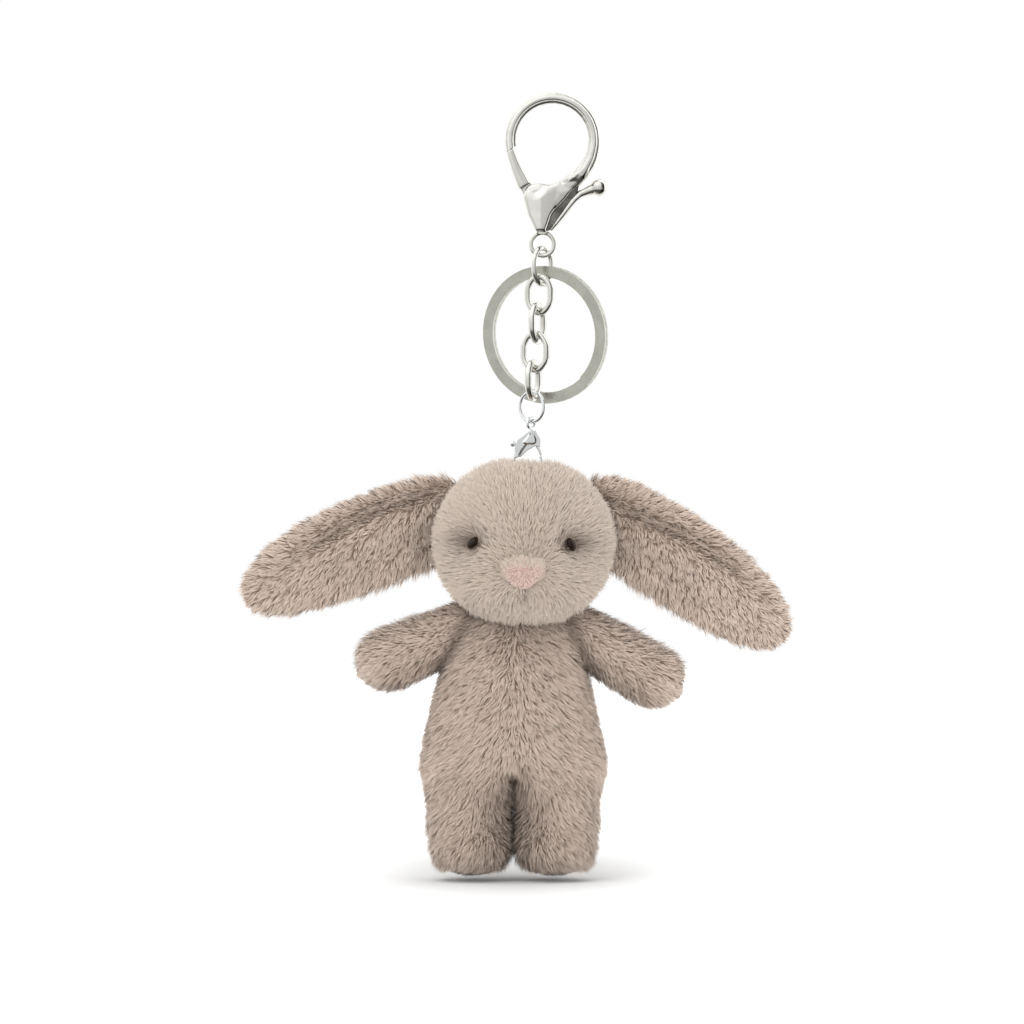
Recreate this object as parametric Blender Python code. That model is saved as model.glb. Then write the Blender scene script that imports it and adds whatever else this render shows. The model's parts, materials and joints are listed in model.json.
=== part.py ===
"""Plush rabbit keychain: trigger clasp, chain, split ring, small clasp and a jointed stuffed rabbit.

Metres, +Z up, front towards -Y. The origin is the inside top of the large clasp's hook.
All lengths below are written in millimetres and scaled by MM when a mesh is made.
"""

import math

import bmesh
import bpy
from mathutils import Matrix, Vector

MM = 0.001

# Large clasp
HOOK_CENTRE = (0.06, -7.8)
HOOK_RADIUS = 9.1
CLASP_PIVOT = (-1.3, -25.0)
CLASP_HALF_DEPTH = 2.0
SLOT_HALF_DEPTH = 0.95
GATE_HALF_DEPTH = 0.65
SHOULDER_RADIUS = 8.6
EYE_CENTRE = (-2.07, -30.5)
EYE_RADIUS = 2.5
EYE_WIRE = 0.55

# Chain: every link is the same stamped oval
LINK_HEIGHT = 9.2
LINK_WIDTH = 6.9
LINK_WIRE = 0.625
LINK_GAP = 0.5
LINK_YAWS = (47.0, -24.0, 63.0, -24.0, 66.0)
LINK_SPOTS = ((-2.1, 0.0), (-2.8, -0.7), (-3.2, -0.7), (-3.7, -0.65), (-4.1, -0.5))
JUMP_SPOT = (-4.4, -0.2)
JUMP_RADIUS = 3.3
JUMP_WIRE = 0.4
JUMP_YAW = -38.0

# Split key ring: two coils of flat wire
RING_YAW = -28.0
RING_TILT = 5.5
RING_OUTER = 15.0
RING_BAND = 2.4
COIL_THICK = 0.72
COIL_GAP = 0.1
RING_TOP = (-1.55, 0.6, -36.35)

# Small clasp: the large clasp's pattern, about a third of its size and upside down
SMALL_EYE = (-4.57, -69.45)
SMALL_DROP = 0.45
SMALL_SCALE = 0.32
SMALL_DEPTH = 0.5
SMALL_EYE_RADIUS = 1.15
SMALL_EYE_WIRE = 0.4
SMALL_EYE_YAW = 50.0

# Rabbit
HEAD_CENTRE = (-6.1, 0.0, -96.1)
HEAD_RADII = (18.2, 15.5, 15.2)
CLOTH = 1.0
CLEAR = 0.35
EYES = {"left": (-16.8, -95.3), "right": (3.7, -95.7)}
NOSE = (-6.3, -102.2)
SHOULDERS = {"left": (-24.2, 0.0, -116.6), "right": (7.6, 0.0, -116.4)}
PAWS = {"left": (-35.7, -1.5, -120.9), "right": (21.9, -1.5, -124.4)}
HIPS = {"left": (-17.7, -1.0, -156.6), "right": (0.9, -1.0, -156.6)}
HIP_RADIUS = 8.8
EAR_ROOTS = {"left": (-29.4, 3.0, -91.4), "right": (17.9, 3.0, -92.6)}
EAR_TIPS = {"left": (-67.0, 3.0, -107.2), "right": (50.8, 3.0, -116.0)}


def clear_scene():
    for obj in list(bpy.data.objects):
        bpy.data.objects.remove(obj, do_unlink=True)


def material(name, colour, metallic, roughness):
    mat = bpy.data.materials.new(name)
    mat.use_nodes = True
    shader = mat.node_tree.nodes["Principled BSDF"]
    shader.inputs["Base Color"].default_value = (*colour, 1.0)
    shader.inputs["Metallic"].default_value = metallic
    shader.inputs["Roughness"].default_value = roughness
    mat.diffuse_color = (*colour, 1.0)
    return mat


def chrome(name):
    return material(name + "_metal", (0.62, 0.61, 0.58), 1.0, 0.18)


def plush(name):
    return material(name + "_cloth", (0.49, 0.39, 0.32), 0.0, 0.9)


def filling(name):
    return material(name + "_fibre", (0.86, 0.85, 0.82), 0.0, 1.0)


def add_mesh(name, verts, faces, mat, origin=(0.0, 0.0, 0.0), smooth=True):
    """Makes one closed object from millimetre coordinates, with its origin on its joint."""
    base = Vector(origin)
    mesh = bpy.data.meshes.new(name)
    mesh.from_pydata([(Vector(v) - base) * MM for v in verts], [], faces)
    work = bmesh.new()
    work.from_mesh(mesh)
    bmesh.ops.recalc_face_normals(work, faces=work.faces)
    work.to_mesh(mesh)
    work.free()
    for face in mesh.polygons:
        face.use_smooth = smooth
    obj = bpy.data.objects.new(name, mesh)
    obj.location = base * MM
    bpy.context.scene.collection.objects.link(obj)
    if mat:
        mesh.materials.append(mat)
    return obj


def combine(target, other, operation):
    """Joins or cuts target with other for good, then removes other."""
    bpy.context.view_layer.update()
    step = target.modifiers.new("solid", "BOOLEAN")
    step.operation = operation
    step.solver = "EXACT"
    step.object = other
    graph = bpy.context.evaluated_depsgraph_get()
    result = bpy.data.meshes.new_from_object(target.evaluated_get(graph))
    target.modifiers.clear()
    mats = [slot.material for slot in target.material_slots][:1]
    target.data = result
    target.data.materials.clear()
    for mat in mats:
        target.data.materials.append(mat)
    for face in target.data.polygons:
        face.material_index = 0
    bpy.data.objects.remove(other, do_unlink=True)
    return target


def tidy(obj, distance=0.004):
    """Welds the slivers a boolean leaves and triangulates."""
    work = bmesh.new()
    work.from_mesh(obj.data)
    bmesh.ops.remove_doubles(work, verts=work.verts, dist=distance * MM)
    bmesh.ops.dissolve_degenerate(work, edges=work.edges, dist=distance * MM)
    bmesh.ops.triangulate(work, faces=work.faces)
    work.to_mesh(obj.data)
    work.free()
    return obj


def loft(rings, closed=False, start_pole=None, end_pole=None):
    """Vertices and faces of a skin over equal rings, with flat or pointed ends."""
    count = len(rings[0])
    verts = [point for ring in rings for point in ring]
    faces = []
    spans = len(rings) if closed else len(rings) - 1
    for i in range(spans):
        a = i * count
        b = ((i + 1) % len(rings)) * count
        for j in range(count):
            k = (j + 1) % count
            faces.append((a + j, a + k, b + k, b + j))
    if not closed:
        for pole, base in ((start_pole, 0), (end_pole, (len(rings) - 1) * count)):
            ring = [base + j for j in range(count)]
            if pole is None:
                faces.append(tuple(ring))
                continue
            verts.append(pole)
            tip = len(verts) - 1
            faces += [(ring[j], ring[(j + 1) % count], tip) for j in range(count)]
    return verts, faces


def sweep(path, normal, widths, depths, sides=8, closed=False, squareness=2.0):
    """A bar along a flat path; widths lie in the path's plane, depths along its normal."""
    normal = Vector(normal).normalized()
    path = [Vector(p) for p in path]
    rings = []
    for i, point in enumerate(path):
        ahead = path[(i + 1) % len(path)] if closed or i + 1 < len(path) else path[i]
        behind = path[i - 1] if closed or i > 0 else path[i]
        side = normal.cross((ahead - behind).normalized())
        ring = []
        for j in range(sides):
            turn = 2.0 * math.pi * (j + 0.5) / sides
            across, along = (
                math.copysign(abs(v) ** (2.0 / squareness), v)
                for v in (math.cos(turn), math.sin(turn))
            )
            ring.append(point + side * across * widths[i] + normal * along * depths[i])
        rings.append(ring)
    return loft(rings, closed)


def yaw_axes(yaw):
    """The in-plane direction and the normal of an upright plane turned by yaw degrees."""
    turn = math.radians(yaw)
    return Vector((math.cos(turn), math.sin(turn), 0.0)), Vector((-math.sin(turn), math.cos(turn), 0.0))


def ring_mesh(name, centre, radius, wire, yaw, mat, steps=24, sides=8, origin=None):
    flat, normal = yaw_axes(yaw)
    centre = Vector(centre)
    path = []
    for i in range(steps):
        turn = 2.0 * math.pi * i / steps
        path.append(centre + flat * radius * math.cos(turn) + Vector((0, 0, radius * math.sin(turn))))
    verts, faces = sweep(path, normal, [wire] * steps, [wire] * steps, sides, closed=True)
    return add_mesh(name, verts, faces, mat, origin or tuple(centre))


def spline(points, parts):
    """Smooth rows between rows of numbers (Catmull-Rom)."""
    rows = []
    for i in range(len(points) - 1):
        p0 = points[max(i - 1, 0)]
        p1, p2 = points[i], points[i + 1]
        p3 = points[min(i + 2, len(points) - 1)]
        for k in range(parts):
            t = k / parts
            rows.append(
                tuple(
                    0.5 * (2 * b + (c - a) * t + (2 * a - 5 * b + 4 * c - d) * t * t + (3 * b - a - 3 * c + d) * t**3)
                    for a, b, c, d in zip(p0, p1, p2, p3)
                )
            )
    rows.append(tuple(points[-1]))
    return rows


def bar(rows, sides, squareness, mat=None, name="bar"):
    """A bar in the XZ plane from rows of x, z, half width and half depth."""
    path = [(x, 0.0, z) for x, z, _, _ in rows]
    widths = [row[2] for row in rows]
    depths = [row[3] for row in rows]
    verts, faces = sweep(path, (0, 1, 0), widths, depths, sides, squareness=squareness)
    return add_mesh(name, verts, faces, mat)


def plate(outline, low, high, mat=None, name="plate"):
    """A flat plate of the outline's shape between two depths."""
    rings = [[(x, y, z) for x, z in outline] for y in (low, high)]
    verts, faces = loft(rings)
    return add_mesh(name, verts, faces, mat, smooth=False)


def drum(centre, radius, low, high, sides=20, mat=None, name="drum"):
    """A round bar along Y."""
    outline = [
        (centre[0] + radius * math.cos(2 * math.pi * i / sides), centre[1] + radius * math.sin(2 * math.pi * i / sides))
        for i in range(sides)
    ]
    return plate(outline, low, high, mat, name)


def ball(centre, radii, segments=14, rings=8, mat=None, name="ball", shape=None):
    levels = []
    for i in range(1, rings):
        tilt = math.pi * i / rings
        levels.append(
            [
                (
                    centre[0] + radii[0] * math.sin(tilt) * math.cos(2 * math.pi * j / segments),
                    centre[1] + radii[1] * math.sin(tilt) * math.sin(2 * math.pi * j / segments),
                    centre[2] + radii[2] * math.cos(tilt),
                )
                for j in range(segments)
            ]
        )
    top = (centre[0], centre[1], centre[2] + radii[2])
    bottom = (centre[0], centre[1], centre[2] - radii[2])
    verts, faces = loft(levels, False, top, bottom)
    if shape:
        verts = [shape(v) for v in verts]
    return add_mesh(name, verts, faces, mat)


def cheek_outline():
    """The heart-shaped lower body of the clasp, as x and z, going round from its upper left."""
    return [
        (-4.4, -17.4),
        (-2.8, -17.2),
        (-0.6, -17.5),
        (1.9, -16.9),
        (4.6, -18.5),
        (2.9, -20.7),
        (0.6, -23.2),
        (-1.0, -25.6),
        (-1.3, -26.8),
        (-1.1, -28.1),
        (-3.2, -28.1),
        (-3.8, -26.6),
        (-4.8, -24.2),
        (-5.7, -21.9),
        (-6.2, -20.2),
        (-6.0, -18.9),
        (-5.4, -17.9),
    ]


def cheeks(mat):
    """The heart as a bevelled block with a shallow ridge down each face."""
    outline = cheek_outline()
    middle = Vector((-2.2, -20.9))
    rings = []
    for depth, shrink in ((-2.35, 0.62), (-1.95, 0.9), (-1.4, 1.0), (1.4, 1.0), (1.95, 0.9), (2.35, 0.62)):
        ring = []
        for x, z in outline:
            anchor = Vector((middle.x, min(middle.y, max(z, -27.2))))
            spot = anchor + (Vector((x, z)) - anchor) * shrink
            ring.append((spot.x, depth, spot.y))
        rings.append(ring)
    verts, faces = loft(rings)
    return add_mesh("clasp_body", verts, faces, mat)


def hook_rows():
    """The hook from its free tip at the left, over the top and down to the body."""
    rows = []
    for turn in range(206, -1, -12):
        angle = math.radians(turn)
        rows.append(
            (
                HOOK_CENTRE[0] + HOOK_RADIUS * math.cos(angle),
                HOOK_CENTRE[1] + HOOK_RADIUS * math.sin(angle),
                1.28,
                1.5,
            )
        )
    arm = [
        (9.1, -8.9, 1.35, 1.55),
        (8.5, -11.6, 1.45, 1.65),
        (7.1, -14.2, 1.6, 1.8),
        (5.0, -16.4, 1.75, 1.95),
        (2.2, -18.5, 1.9, 2.0),
        (-0.9, -20.2, 2.1, 2.0),
    ]
    return rows + spline(arm, 2)


def split_cutter(sign):
    """A block whose edge is the sloping joint between hook tip and gate; sign picks its side."""
    low, high = Vector((-10.8, -11.45)), Vector((-7.0, -8.85))
    along = (high - low).normalized()
    across = Vector((-along.y, along.x)) * sign
    corners = [
        low - across * 0.14,
        high - across * 0.14,
        high + across * 7.0,
        low + across * 7.0,
    ]
    return plate([(c.x, c.y) for c in corners], -4.0, 4.0)


def slot_outline():
    """The pocket between the two cheeks in which the gate and its lever turn."""
    return [
        (-8.0, -16.0),
        (-0.45, -16.0),
        (-0.45, -20.4),
        (0.6, -21.7),
        (2.6, -21.3),
        (6.0, -19.2),
        (6.0, -27.35),
        (-8.0, -27.35),
    ]


def clasp_body():
    body = cheeks(chrome("clasp_body"))
    hook = bar(hook_rows(), 12, 2.4)
    combine(hook, split_cutter(-1.0), "DIFFERENCE")
    combine(body, hook, "UNION")
    combine(body, plate(slot_outline(), -SLOT_HALF_DEPTH, SLOT_HALF_DEPTH), "DIFFERENCE")
    combine(body, drum(CLASP_PIVOT, 0.85, -4.0, 4.0, 16), "DIFFERENCE")
    eye = ring_mesh("eye", (EYE_CENTRE[0], 0.0, EYE_CENTRE[1]), EYE_RADIUS, EYE_WIRE, 0.0, None, 24, 8)
    combine(body, eye, "UNION")
    return tidy(body)


def gate_arm_rows():
    return spline(
        [
            (-9.45, -9.2, 0.95, 1.45),
            (-8.75, -11.3, 1.0, 1.45),
            (-7.95, -13.6, 1.15, 1.45),
            (-6.95, -15.8, 1.35, 1.45),
            (-5.9, -18.0, 1.45, 1.45),
            (-4.7, -20.2, 1.45, 1.45),
        ],
        2,
    )


def thin(points):
    return [(x, z, width, GATE_HALF_DEPTH) for x, z, width in points]


def lever_rows():
    """The lever from beside the eye up the right edge and out to the thumb ball."""
    return spline(
        [
            (0.35, -26.9, 0.35, 0.65),
            (1.35, -25.2, 0.6, 0.9),
            (2.8, -23.3, 0.8, 1.15),
            (4.4, -21.2, 0.85, 1.2),
            (5.9, -19.9, 0.78, 1.0),
            (7.6, -19.1, 0.72, 0.75),
            (10.2, -18.15, 0.72, 0.72),
        ],
        2,
    )


def clasp_gate():
    arm = bar(gate_arm_rows(), 10, 3.2, chrome("clasp_gate"), "clasp_gate")
    combine(arm, split_cutter(1.0), "DIFFERENCE")
    combine(arm, drum(CLASP_PIVOT, SHOULDER_RADIUS, -4.0, 4.0, 40), "DIFFERENCE")
    inner = bar(thin([(-6.5, -16.3, 1.2), (-4.9, -19.4, 1.4), (-3.0, -22.4, 1.5), (-1.3, -25.0, 1.6)]), 8, 5.0)
    combine(arm, inner, "UNION")
    across = bar(thin([(-1.6, -25.2, 1.4), (0.6, -24.1, 1.1), (2.9, -22.6, 0.9)]), 8, 5.0)
    combine(arm, across, "UNION")
    combine(arm, bar(lever_rows(), 10, 2.0), "UNION")
    combine(arm, ball((10.2, 0.0, -18.15), (1.9, 1.9, 1.9), 14, 10), "UNION")
    combine(arm, drum(CLASP_PIVOT, 0.9, -4.0, 4.0, 16), "DIFFERENCE")
    return tidy(arm)


def spring_rows():
    """The bent leaf that pushes the gate shut, between the gate and the solid root of the hook."""
    return [
        (-3.5, -17.9, 0.2, 0.3),
        (-1.7, -20.3, 0.2, 0.3),
        (-0.8, -21.7, 0.2, 0.3),
        (0.1, -22.15, 0.2, 0.3),
        (1.2, -22.05, 0.2, 0.3),
    ]


def place_at_pivot(obj, pivot):
    """Moves an object's origin to the pivot without moving its surface."""
    shift = Vector((pivot[0], 0.0, pivot[1])) * MM - obj.location
    obj.data.transform(Matrix.Translation(-shift))
    obj.location += shift


def to_small(x, z):
    """Where a point of the large clasp falls on the small one."""
    return (
        SMALL_EYE[0] - (x - EYE_CENTRE[0]) * SMALL_SCALE,
        SMALL_EYE[1] - SMALL_DROP - (z - EYE_CENTRE[1]) * SMALL_SCALE,
    )


def shrink_to_small(obj):
    for vert in obj.data.vertices:
        spot = (vert.co + obj.location) / MM
        x, z = to_small(spot.x, spot.z)
        vert.co = Vector((x, spot.y * SMALL_DEPTH, z)) * MM
    obj.location = (0.0, 0.0, 0.0)
    return obj


def large_clasp():
    body = clasp_body()
    gate = clasp_gate()
    place_at_pivot(gate, CLASP_PIVOT)
    pin = drum(CLASP_PIVOT, 0.6, -2.3, 2.3, 16, chrome("clasp_pivot_pin"), "clasp_pivot_pin")
    for face in pin.data.polygons:
        face.use_smooth = False
    bar(spring_rows(), 6, 2.0, chrome("clasp_spring"), "clasp_spring")
    return body, gate


def small_clasp():
    """Built from the same forms, without the large clasp's fixed eye, then shrunk."""
    body = cheeks(chrome("small_clasp_body"))
    body.name = "small_clasp_body"
    hook = bar(hook_rows()[::2] + [hook_rows()[-1]], 8, 2.0)
    combine(hook, split_cutter(-1.0), "DIFFERENCE")
    combine(body, hook, "UNION")
    combine(body, plate(slot_outline(), -SLOT_HALF_DEPTH, SLOT_HALF_DEPTH), "DIFFERENCE")
    combine(body, drum(CLASP_PIVOT, 0.9, -4.0, 4.0, 12), "DIFFERENCE")
    shrink_to_small(tidy(body, 0.01))
    eye = ring_mesh(
        "eye", (SMALL_EYE[0], 0.0, SMALL_EYE[1]), SMALL_EYE_RADIUS, SMALL_EYE_WIRE, SMALL_EYE_YAW, None, 16, 8
    )
    combine(body, eye, "UNION")
    tidy(body, 0.003)

    gate = bar(gate_arm_rows()[::2] + [gate_arm_rows()[-1]], 8, 2.6, chrome("small_clasp_gate"), "small_clasp_gate")
    combine(gate, split_cutter(1.0), "DIFFERENCE")
    combine(gate, drum(CLASP_PIVOT, SHOULDER_RADIUS, -4.0, 4.0, 24), "DIFFERENCE")
    inner = bar(thin([(-6.5, -16.3, 1.2), (-3.0, -22.4, 1.5), (-1.3, -25.0, 1.6)]), 8, 5.0)
    combine(gate, inner, "UNION")
    across = bar(thin([(-1.6, -25.2, 1.4), (0.6, -24.1, 1.1), (2.9, -22.6, 0.9)]), 8, 5.0)
    combine(gate, across, "UNION")
    combine(gate, bar(lever_rows()[2::2], 8, 2.0), "UNION")
    combine(gate, ball((10.2, 0.0, -18.15), (2.2, 1.5, 2.2), 10, 7), "UNION")
    combine(gate, drum(CLASP_PIVOT, 0.95, -4.0, 4.0, 12), "DIFFERENCE")
    shrink_to_small(tidy(gate, 0.01))
    pivot = to_small(*CLASP_PIVOT)
    place_at_pivot(gate, pivot)
    drum(pivot, 0.17, -1.35, 1.35, 10, chrome("small_clasp_pin"), "small_clasp_pin")
    spring = bar(spring_rows(), 6, 2.0, chrome("small_clasp_spring"), "small_clasp_spring")
    shrink_to_small(spring)


def chain_levels():
    """Heights of the centre of the wire at each link's top and bottom, from the fixed eye down."""
    levels = []
    hang = EYE_CENTRE[1] - EYE_RADIUS
    upper_wire = EYE_WIRE
    for _ in LINK_YAWS:
        top = hang + upper_wire + LINK_WIRE + LINK_GAP
        bottom = top - (LINK_HEIGHT - 2.0 * LINK_WIRE)
        levels.append((hang, top, bottom))
        hang, upper_wire = bottom, LINK_WIRE
    return levels


def link(name, spot, yaw, hang, top, bottom):
    """An oval link whose origin is the centre of the wire it hangs on."""
    flat, normal = yaw_axes(yaw)
    radius = LINK_WIDTH / 2.0 - LINK_WIRE
    half_straight = (top - bottom) / 2.0 - radius
    centre = Vector((*spot, (top + bottom) / 2.0))
    path = []
    for sign, start in ((1.0, 0.0), (-1.0, math.pi)):
        for i in range(9):
            turn = start + math.pi * i / 8
            offset = flat * radius * math.cos(turn)
            height = radius * math.sin(turn) + sign * half_straight
            path.append(centre + offset + Vector((0.0, 0.0, height)))
    count = len(path)
    verts, faces = sweep(path, normal, [LINK_WIRE] * count, [LINK_WIRE] * count, 8, closed=True)
    return add_mesh(name, verts, faces, chrome(name), (*spot, hang))


def chain():
    levels = chain_levels()
    for i, (hang, top, bottom) in enumerate(levels):
        link(f"link_{i + 1}", LINK_SPOTS[i], LINK_YAWS[i], hang, top, bottom)
    hang = levels[-1][2]
    top = hang + LINK_WIRE + JUMP_WIRE + LINK_GAP
    centre = (*JUMP_SPOT, top - JUMP_RADIUS)
    origin = (*JUMP_SPOT, hang)
    ring_mesh("jump_ring", centre, JUMP_RADIUS, JUMP_WIRE, JUMP_YAW, chrome("jump_ring"), origin=origin)


def split_ring():
    """Two flat coils joined by one sloping step, with both ends free."""
    flat, back = yaw_axes(RING_YAW)
    tilt = math.radians(RING_TILT)
    down = Vector((0, 0, -1)) * math.cos(tilt) + back * math.sin(tilt)
    normal = flat.cross(down).normalized()
    middle = RING_OUTER - RING_BAND / 2.0
    centre = Vector(RING_TOP) + down * middle - flat * 0.6
    offset = (COIL_THICK + COIL_GAP) / 2.0
    first_end = 292.0
    rings = []
    steps = 92
    for i in range(steps + 1):
        turn = 20.0 + 680.0 * i / steps
        step = min(max((turn - 344.0) / 32.0, 0.0), 1.0)
        height = -offset + 2.0 * offset * step
        angle = math.radians(first_end + turn)
        outward = flat * math.cos(angle) - down * math.sin(angle)
        mid = centre + outward * middle + normal * height
        ring = []
        for across, thick in ((-1, -1), (1, -1), (1, 1), (-1, 1)):
            ring.append(mid + outward * across * RING_BAND / 2.0 + normal * thick * COIL_THICK / 2.0)
        rings.append(ring)
    verts, faces = loft(rings)
    return add_mesh("split_ring", verts, faces, chrome("split_ring"), RING_TOP, smooth=False)


def hanging_loop():
    """The stitched cord loop in the crown that the small clasp hooks into."""
    mat = material("loop_cord", (0.49, 0.39, 0.32), 0.0, 0.9)
    x = to_small(HOOK_CENTRE[0], 0.0)[0]
    top = to_small(0.0, 0.0)[1] + 0.45 + 0.3
    centre_z = top - 2.6
    path = []
    for i in range(20):
        turn = 2.0 * math.pi * i / 20
        path.append((x, 2.2 * math.cos(turn), centre_z + 2.6 * math.sin(turn)))
    verts, faces = sweep(path, (1, 0, 0), [0.45] * 20, [0.5] * 20, 8, closed=True)
    return add_mesh("hanging_loop", verts, faces, mat, (x, 0.0, to_small(0.0, 1.3)[1]))


def muzzle(point):
    """Pushes the face forward round the nose."""
    x, y, z = point
    spread = ((x - NOSE[0]) / 9.0) ** 2 + ((z - NOSE[1] + 1.5) / 6.5) ** 2
    front = min(max(-y / 10.0, 0.0), 1.0)
    return (x, y - 2.2 * math.exp(-spread) * front, z)


def head_surface(x, z, inset=0.0):
    """Depth of the front of the head at x and z."""
    rx, ry, rz = (r - inset for r in HEAD_RADII)
    share = 1.0 - ((x - HEAD_CENTRE[0]) / rx) ** 2 - ((z - HEAD_CENTRE[2]) / rz) ** 2
    y = HEAD_CENTRE[1] - ry * math.sqrt(max(share, 0.0))
    return muzzle((x, y, z))[1]


def shell_rings(centre, radii, start, segments, steps):
    """Rings of an ellipsoid from an opening at its bottom up to just under its top."""
    rings = []
    for i in range(steps):
        tilt = start + (math.pi - start) * i / steps
        rings.append(
            [
                (
                    centre[0] + radii[0] * math.sin(tilt) * math.cos(2 * math.pi * j / segments),
                    centre[1] + radii[1] * math.sin(tilt) * math.sin(2 * math.pi * j / segments),
                    centre[2] - radii[2] * math.cos(tilt),
                )
                for j in range(segments)
            ]
        )
    return rings


def open_shell(name, outer, inner, outer_pole, inner_pole, mat, origin, shape=None):
    """A cloth bag: outer and inner rings start at the open rim and run to the closed end."""
    count = len(outer[0])
    verts = [p for ring in outer for p in ring] + [outer_pole]
    faces = []
    start = 0
    for rings in (outer, inner):
        if rings is inner:
            start = len(verts)
            verts += [p for ring in inner for p in ring] + [inner_pole]
        for i in range(len(rings) - 1):
            for j in range(count):
                k = (j + 1) % count
                a = start + i * count
                faces.append((a + j, a + k, a + count + k, a + count + j))
        last = start + (len(rings) - 1) * count
        tip = last + count
        faces += [(last + j, last + (j + 1) % count, tip) for j in range(count)]
    rim = len(outer) * count + 1
    faces += [(j, (j + 1) % count, rim + (j + 1) % count, rim + j) for j in range(count)]
    if shape:
        verts = [shape(v) for v in verts]
    return add_mesh(name, verts, faces, mat, origin)


def head():
    inner_radii = [r - CLOTH for r in HEAD_RADII]
    origin = (to_small(HOOK_CENTRE[0], 0.0)[0], 0.0, to_small(0.0, 1.3)[1])
    top = HEAD_CENTRE[2] + HEAD_RADII[2]
    opening = math.radians(24)
    skin = open_shell(
        "head_skin",
        shell_rings(HEAD_CENTRE, HEAD_RADII, opening, 24, 11),
        shell_rings(HEAD_CENTRE, inner_radii, opening, 24, 11),
        (HEAD_CENTRE[0], 0.0, top),
        (HEAD_CENTRE[0], 0.0, top - CLOTH),
        plush("head_skin"),
        origin,
        muzzle,
    )
    slit = plate(
        [(origin[0] - 1.1, top + 3), (origin[0] + 1.1, top + 3), (origin[0] + 1.1, top - 4), (origin[0] - 1.1, top - 4)],
        -3.1,
        3.1,
    )
    combine(skin, slit, "DIFFERENCE")
    fill_radii = tuple(r - CLOTH - CLEAR for r in HEAD_RADII)
    fill = ball(HEAD_CENTRE, fill_radii, 20, 10, filling("head_stuffing"), "head_stuffing", muzzle)
    pocket = plate(
        [(origin[0] - 1.3, top + 3), (origin[0] + 1.3, top + 3), (origin[0] + 1.3, top - 5), (origin[0] - 1.3, top - 5)],
        -3.3,
        3.3,
    )
    combine(fill, pocket, "DIFFERENCE")
    for side, (x, z) in EYES.items():
        eye(side, x, z, skin, fill)
    tidy(skin)
    tidy(fill)
    nose()


def lathe(profile, base, direction, segments):
    """A turned solid: profile rows are distance along the direction and radius."""
    direction = Vector(direction).normalized()
    side = direction.cross(Vector((0, 0, 1))).normalized()
    up = side.cross(direction)
    rings = []
    for distance, radius in profile:
        centre = Vector(base) + direction * distance
        ring = []
        for j in range(segments):
            turn = 2 * math.pi * j / segments
            ring.append(centre + side * radius * math.cos(turn) + up * radius * math.sin(turn))
        rings.append(ring)
    return rings


def eye(side, x, z, skin, fill):
    """A bead eye whose shank passes the cloth, and the washer that locks it inside."""
    step = 0.05
    here = head_surface(x, z)
    slope = Vector(
        (
            (head_surface(x + step, z) - here) / step,
            -1.0,
            (head_surface(x, z + step) - here) / step,
        )
    )
    out = slope.normalized()
    base = (x, here, z)
    dark = material(f"eye_{side}_glass", (0.03, 0.02, 0.018), 0.0, 0.15)
    dome = [(-3.0, 0.55), (0.35, 0.55), (0.36, 1.35), (0.8, 1.6), (1.4, 1.45), (1.9, 0.95)]
    verts, faces = loft(lathe(dome, base, out, 12), False, None, Vector(base) + out * 2.15)
    add_mesh(f"eye_{side}", verts, faces, dark, base)
    verts, faces = loft(lathe([(-3.6, 0.95), (2.0, 0.95)], base, out, 12))
    combine(skin, add_mesh("hole", verts, faces, None), "DIFFERENCE")
    verts, faces = loft(lathe([(-4.2, 2.7), (2.0, 2.7)], base, out, 12))
    combine(fill, add_mesh("pocket", verts, faces, None), "DIFFERENCE")
    grey = material(f"eye_washer_{side}_plastic", (0.75, 0.75, 0.73), 0.0, 0.5)
    rows = [(-2.5, 0.85), (-2.5, 2.2), (-1.75, 2.2), (-1.75, 0.85)]
    verts, faces = loft(lathe(rows, base, out, 12), True)
    add_mesh(f"eye_washer_{side}", verts, faces, grey, base)


def nose():
    """A soft rounded triangular nose pad that follows the face at a small gap."""
    pink = material("nose_cloth", (0.73, 0.49, 0.43), 0.0, 0.85)
    rings = []
    for depth, share in ((-0.9, 1.0), (-1.5, 1.0), (-2.0, 0.75), (-2.3, 0.35)):
        ring = []
        for i in range(18):
            turn = 2 * math.pi * i / 18
            wide = 4.3 * (1.0 + 0.32 * math.sin(turn))
            x = NOSE[0] + share * wide * math.cos(turn)
            z = NOSE[1] + share * (3.0 * math.sin(turn) - 0.25 * math.cos(2 * turn))
            ring.append((x, head_surface(x, z) + depth, z))
        rings.append(ring)
    verts, faces = loft(rings)
    add_mesh("nose", verts, faces, pink, (NOSE[0], head_surface(*NOSE), NOSE[1]))


def upright_rings(rows, segments, inset=0.0):
    """Level rings from rows of height, centre x, centre y and the two half widths."""
    rings = []
    for z, x, y, rx, ry in rows:
        ring = []
        for j in range(segments):
            turn = 2 * math.pi * j / segments
            ring.append((x + (rx - inset) * math.cos(turn), y + (ry - inset) * math.sin(turn), z))
        rings.append(ring)
    return rings


def torso_rows():
    return [
        (-111.75, -8.0, 0.2, 6.2, 5.6),
        (-113.6, -8.1, 0.2, 9.3, 8.3),
        (-117.0, -8.2, 0.1, 10.3, 10.0),
        (-121.0, -8.3, 0.0, 12.0, 11.6),
        (-127.0, -8.4, -0.2, 15.4, 13.4),
        (-134.0, -8.4, -0.3, 17.9, 14.6),
        (-141.0, -8.4, -0.3, 18.9, 14.6),
        (-145.0, -8.4, -0.3, 17.2, 12.8),
        (-147.0, -8.4, -0.3, 12.5, 9.0),
    ]


def squeeze(rows, amount, first, last):
    """The same rows drawn in by an even amount at both ends and all round."""
    low, high = rows[-1][0] + last, rows[0][0] - first
    squeezed = []
    for z, x, y, rx, ry in rows:
        share = (z - rows[-1][0]) / (rows[0][0] - rows[-1][0])
        squeezed.append((low + share * (high - low), x, y, rx - amount, ry - amount))
    return squeezed


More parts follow.
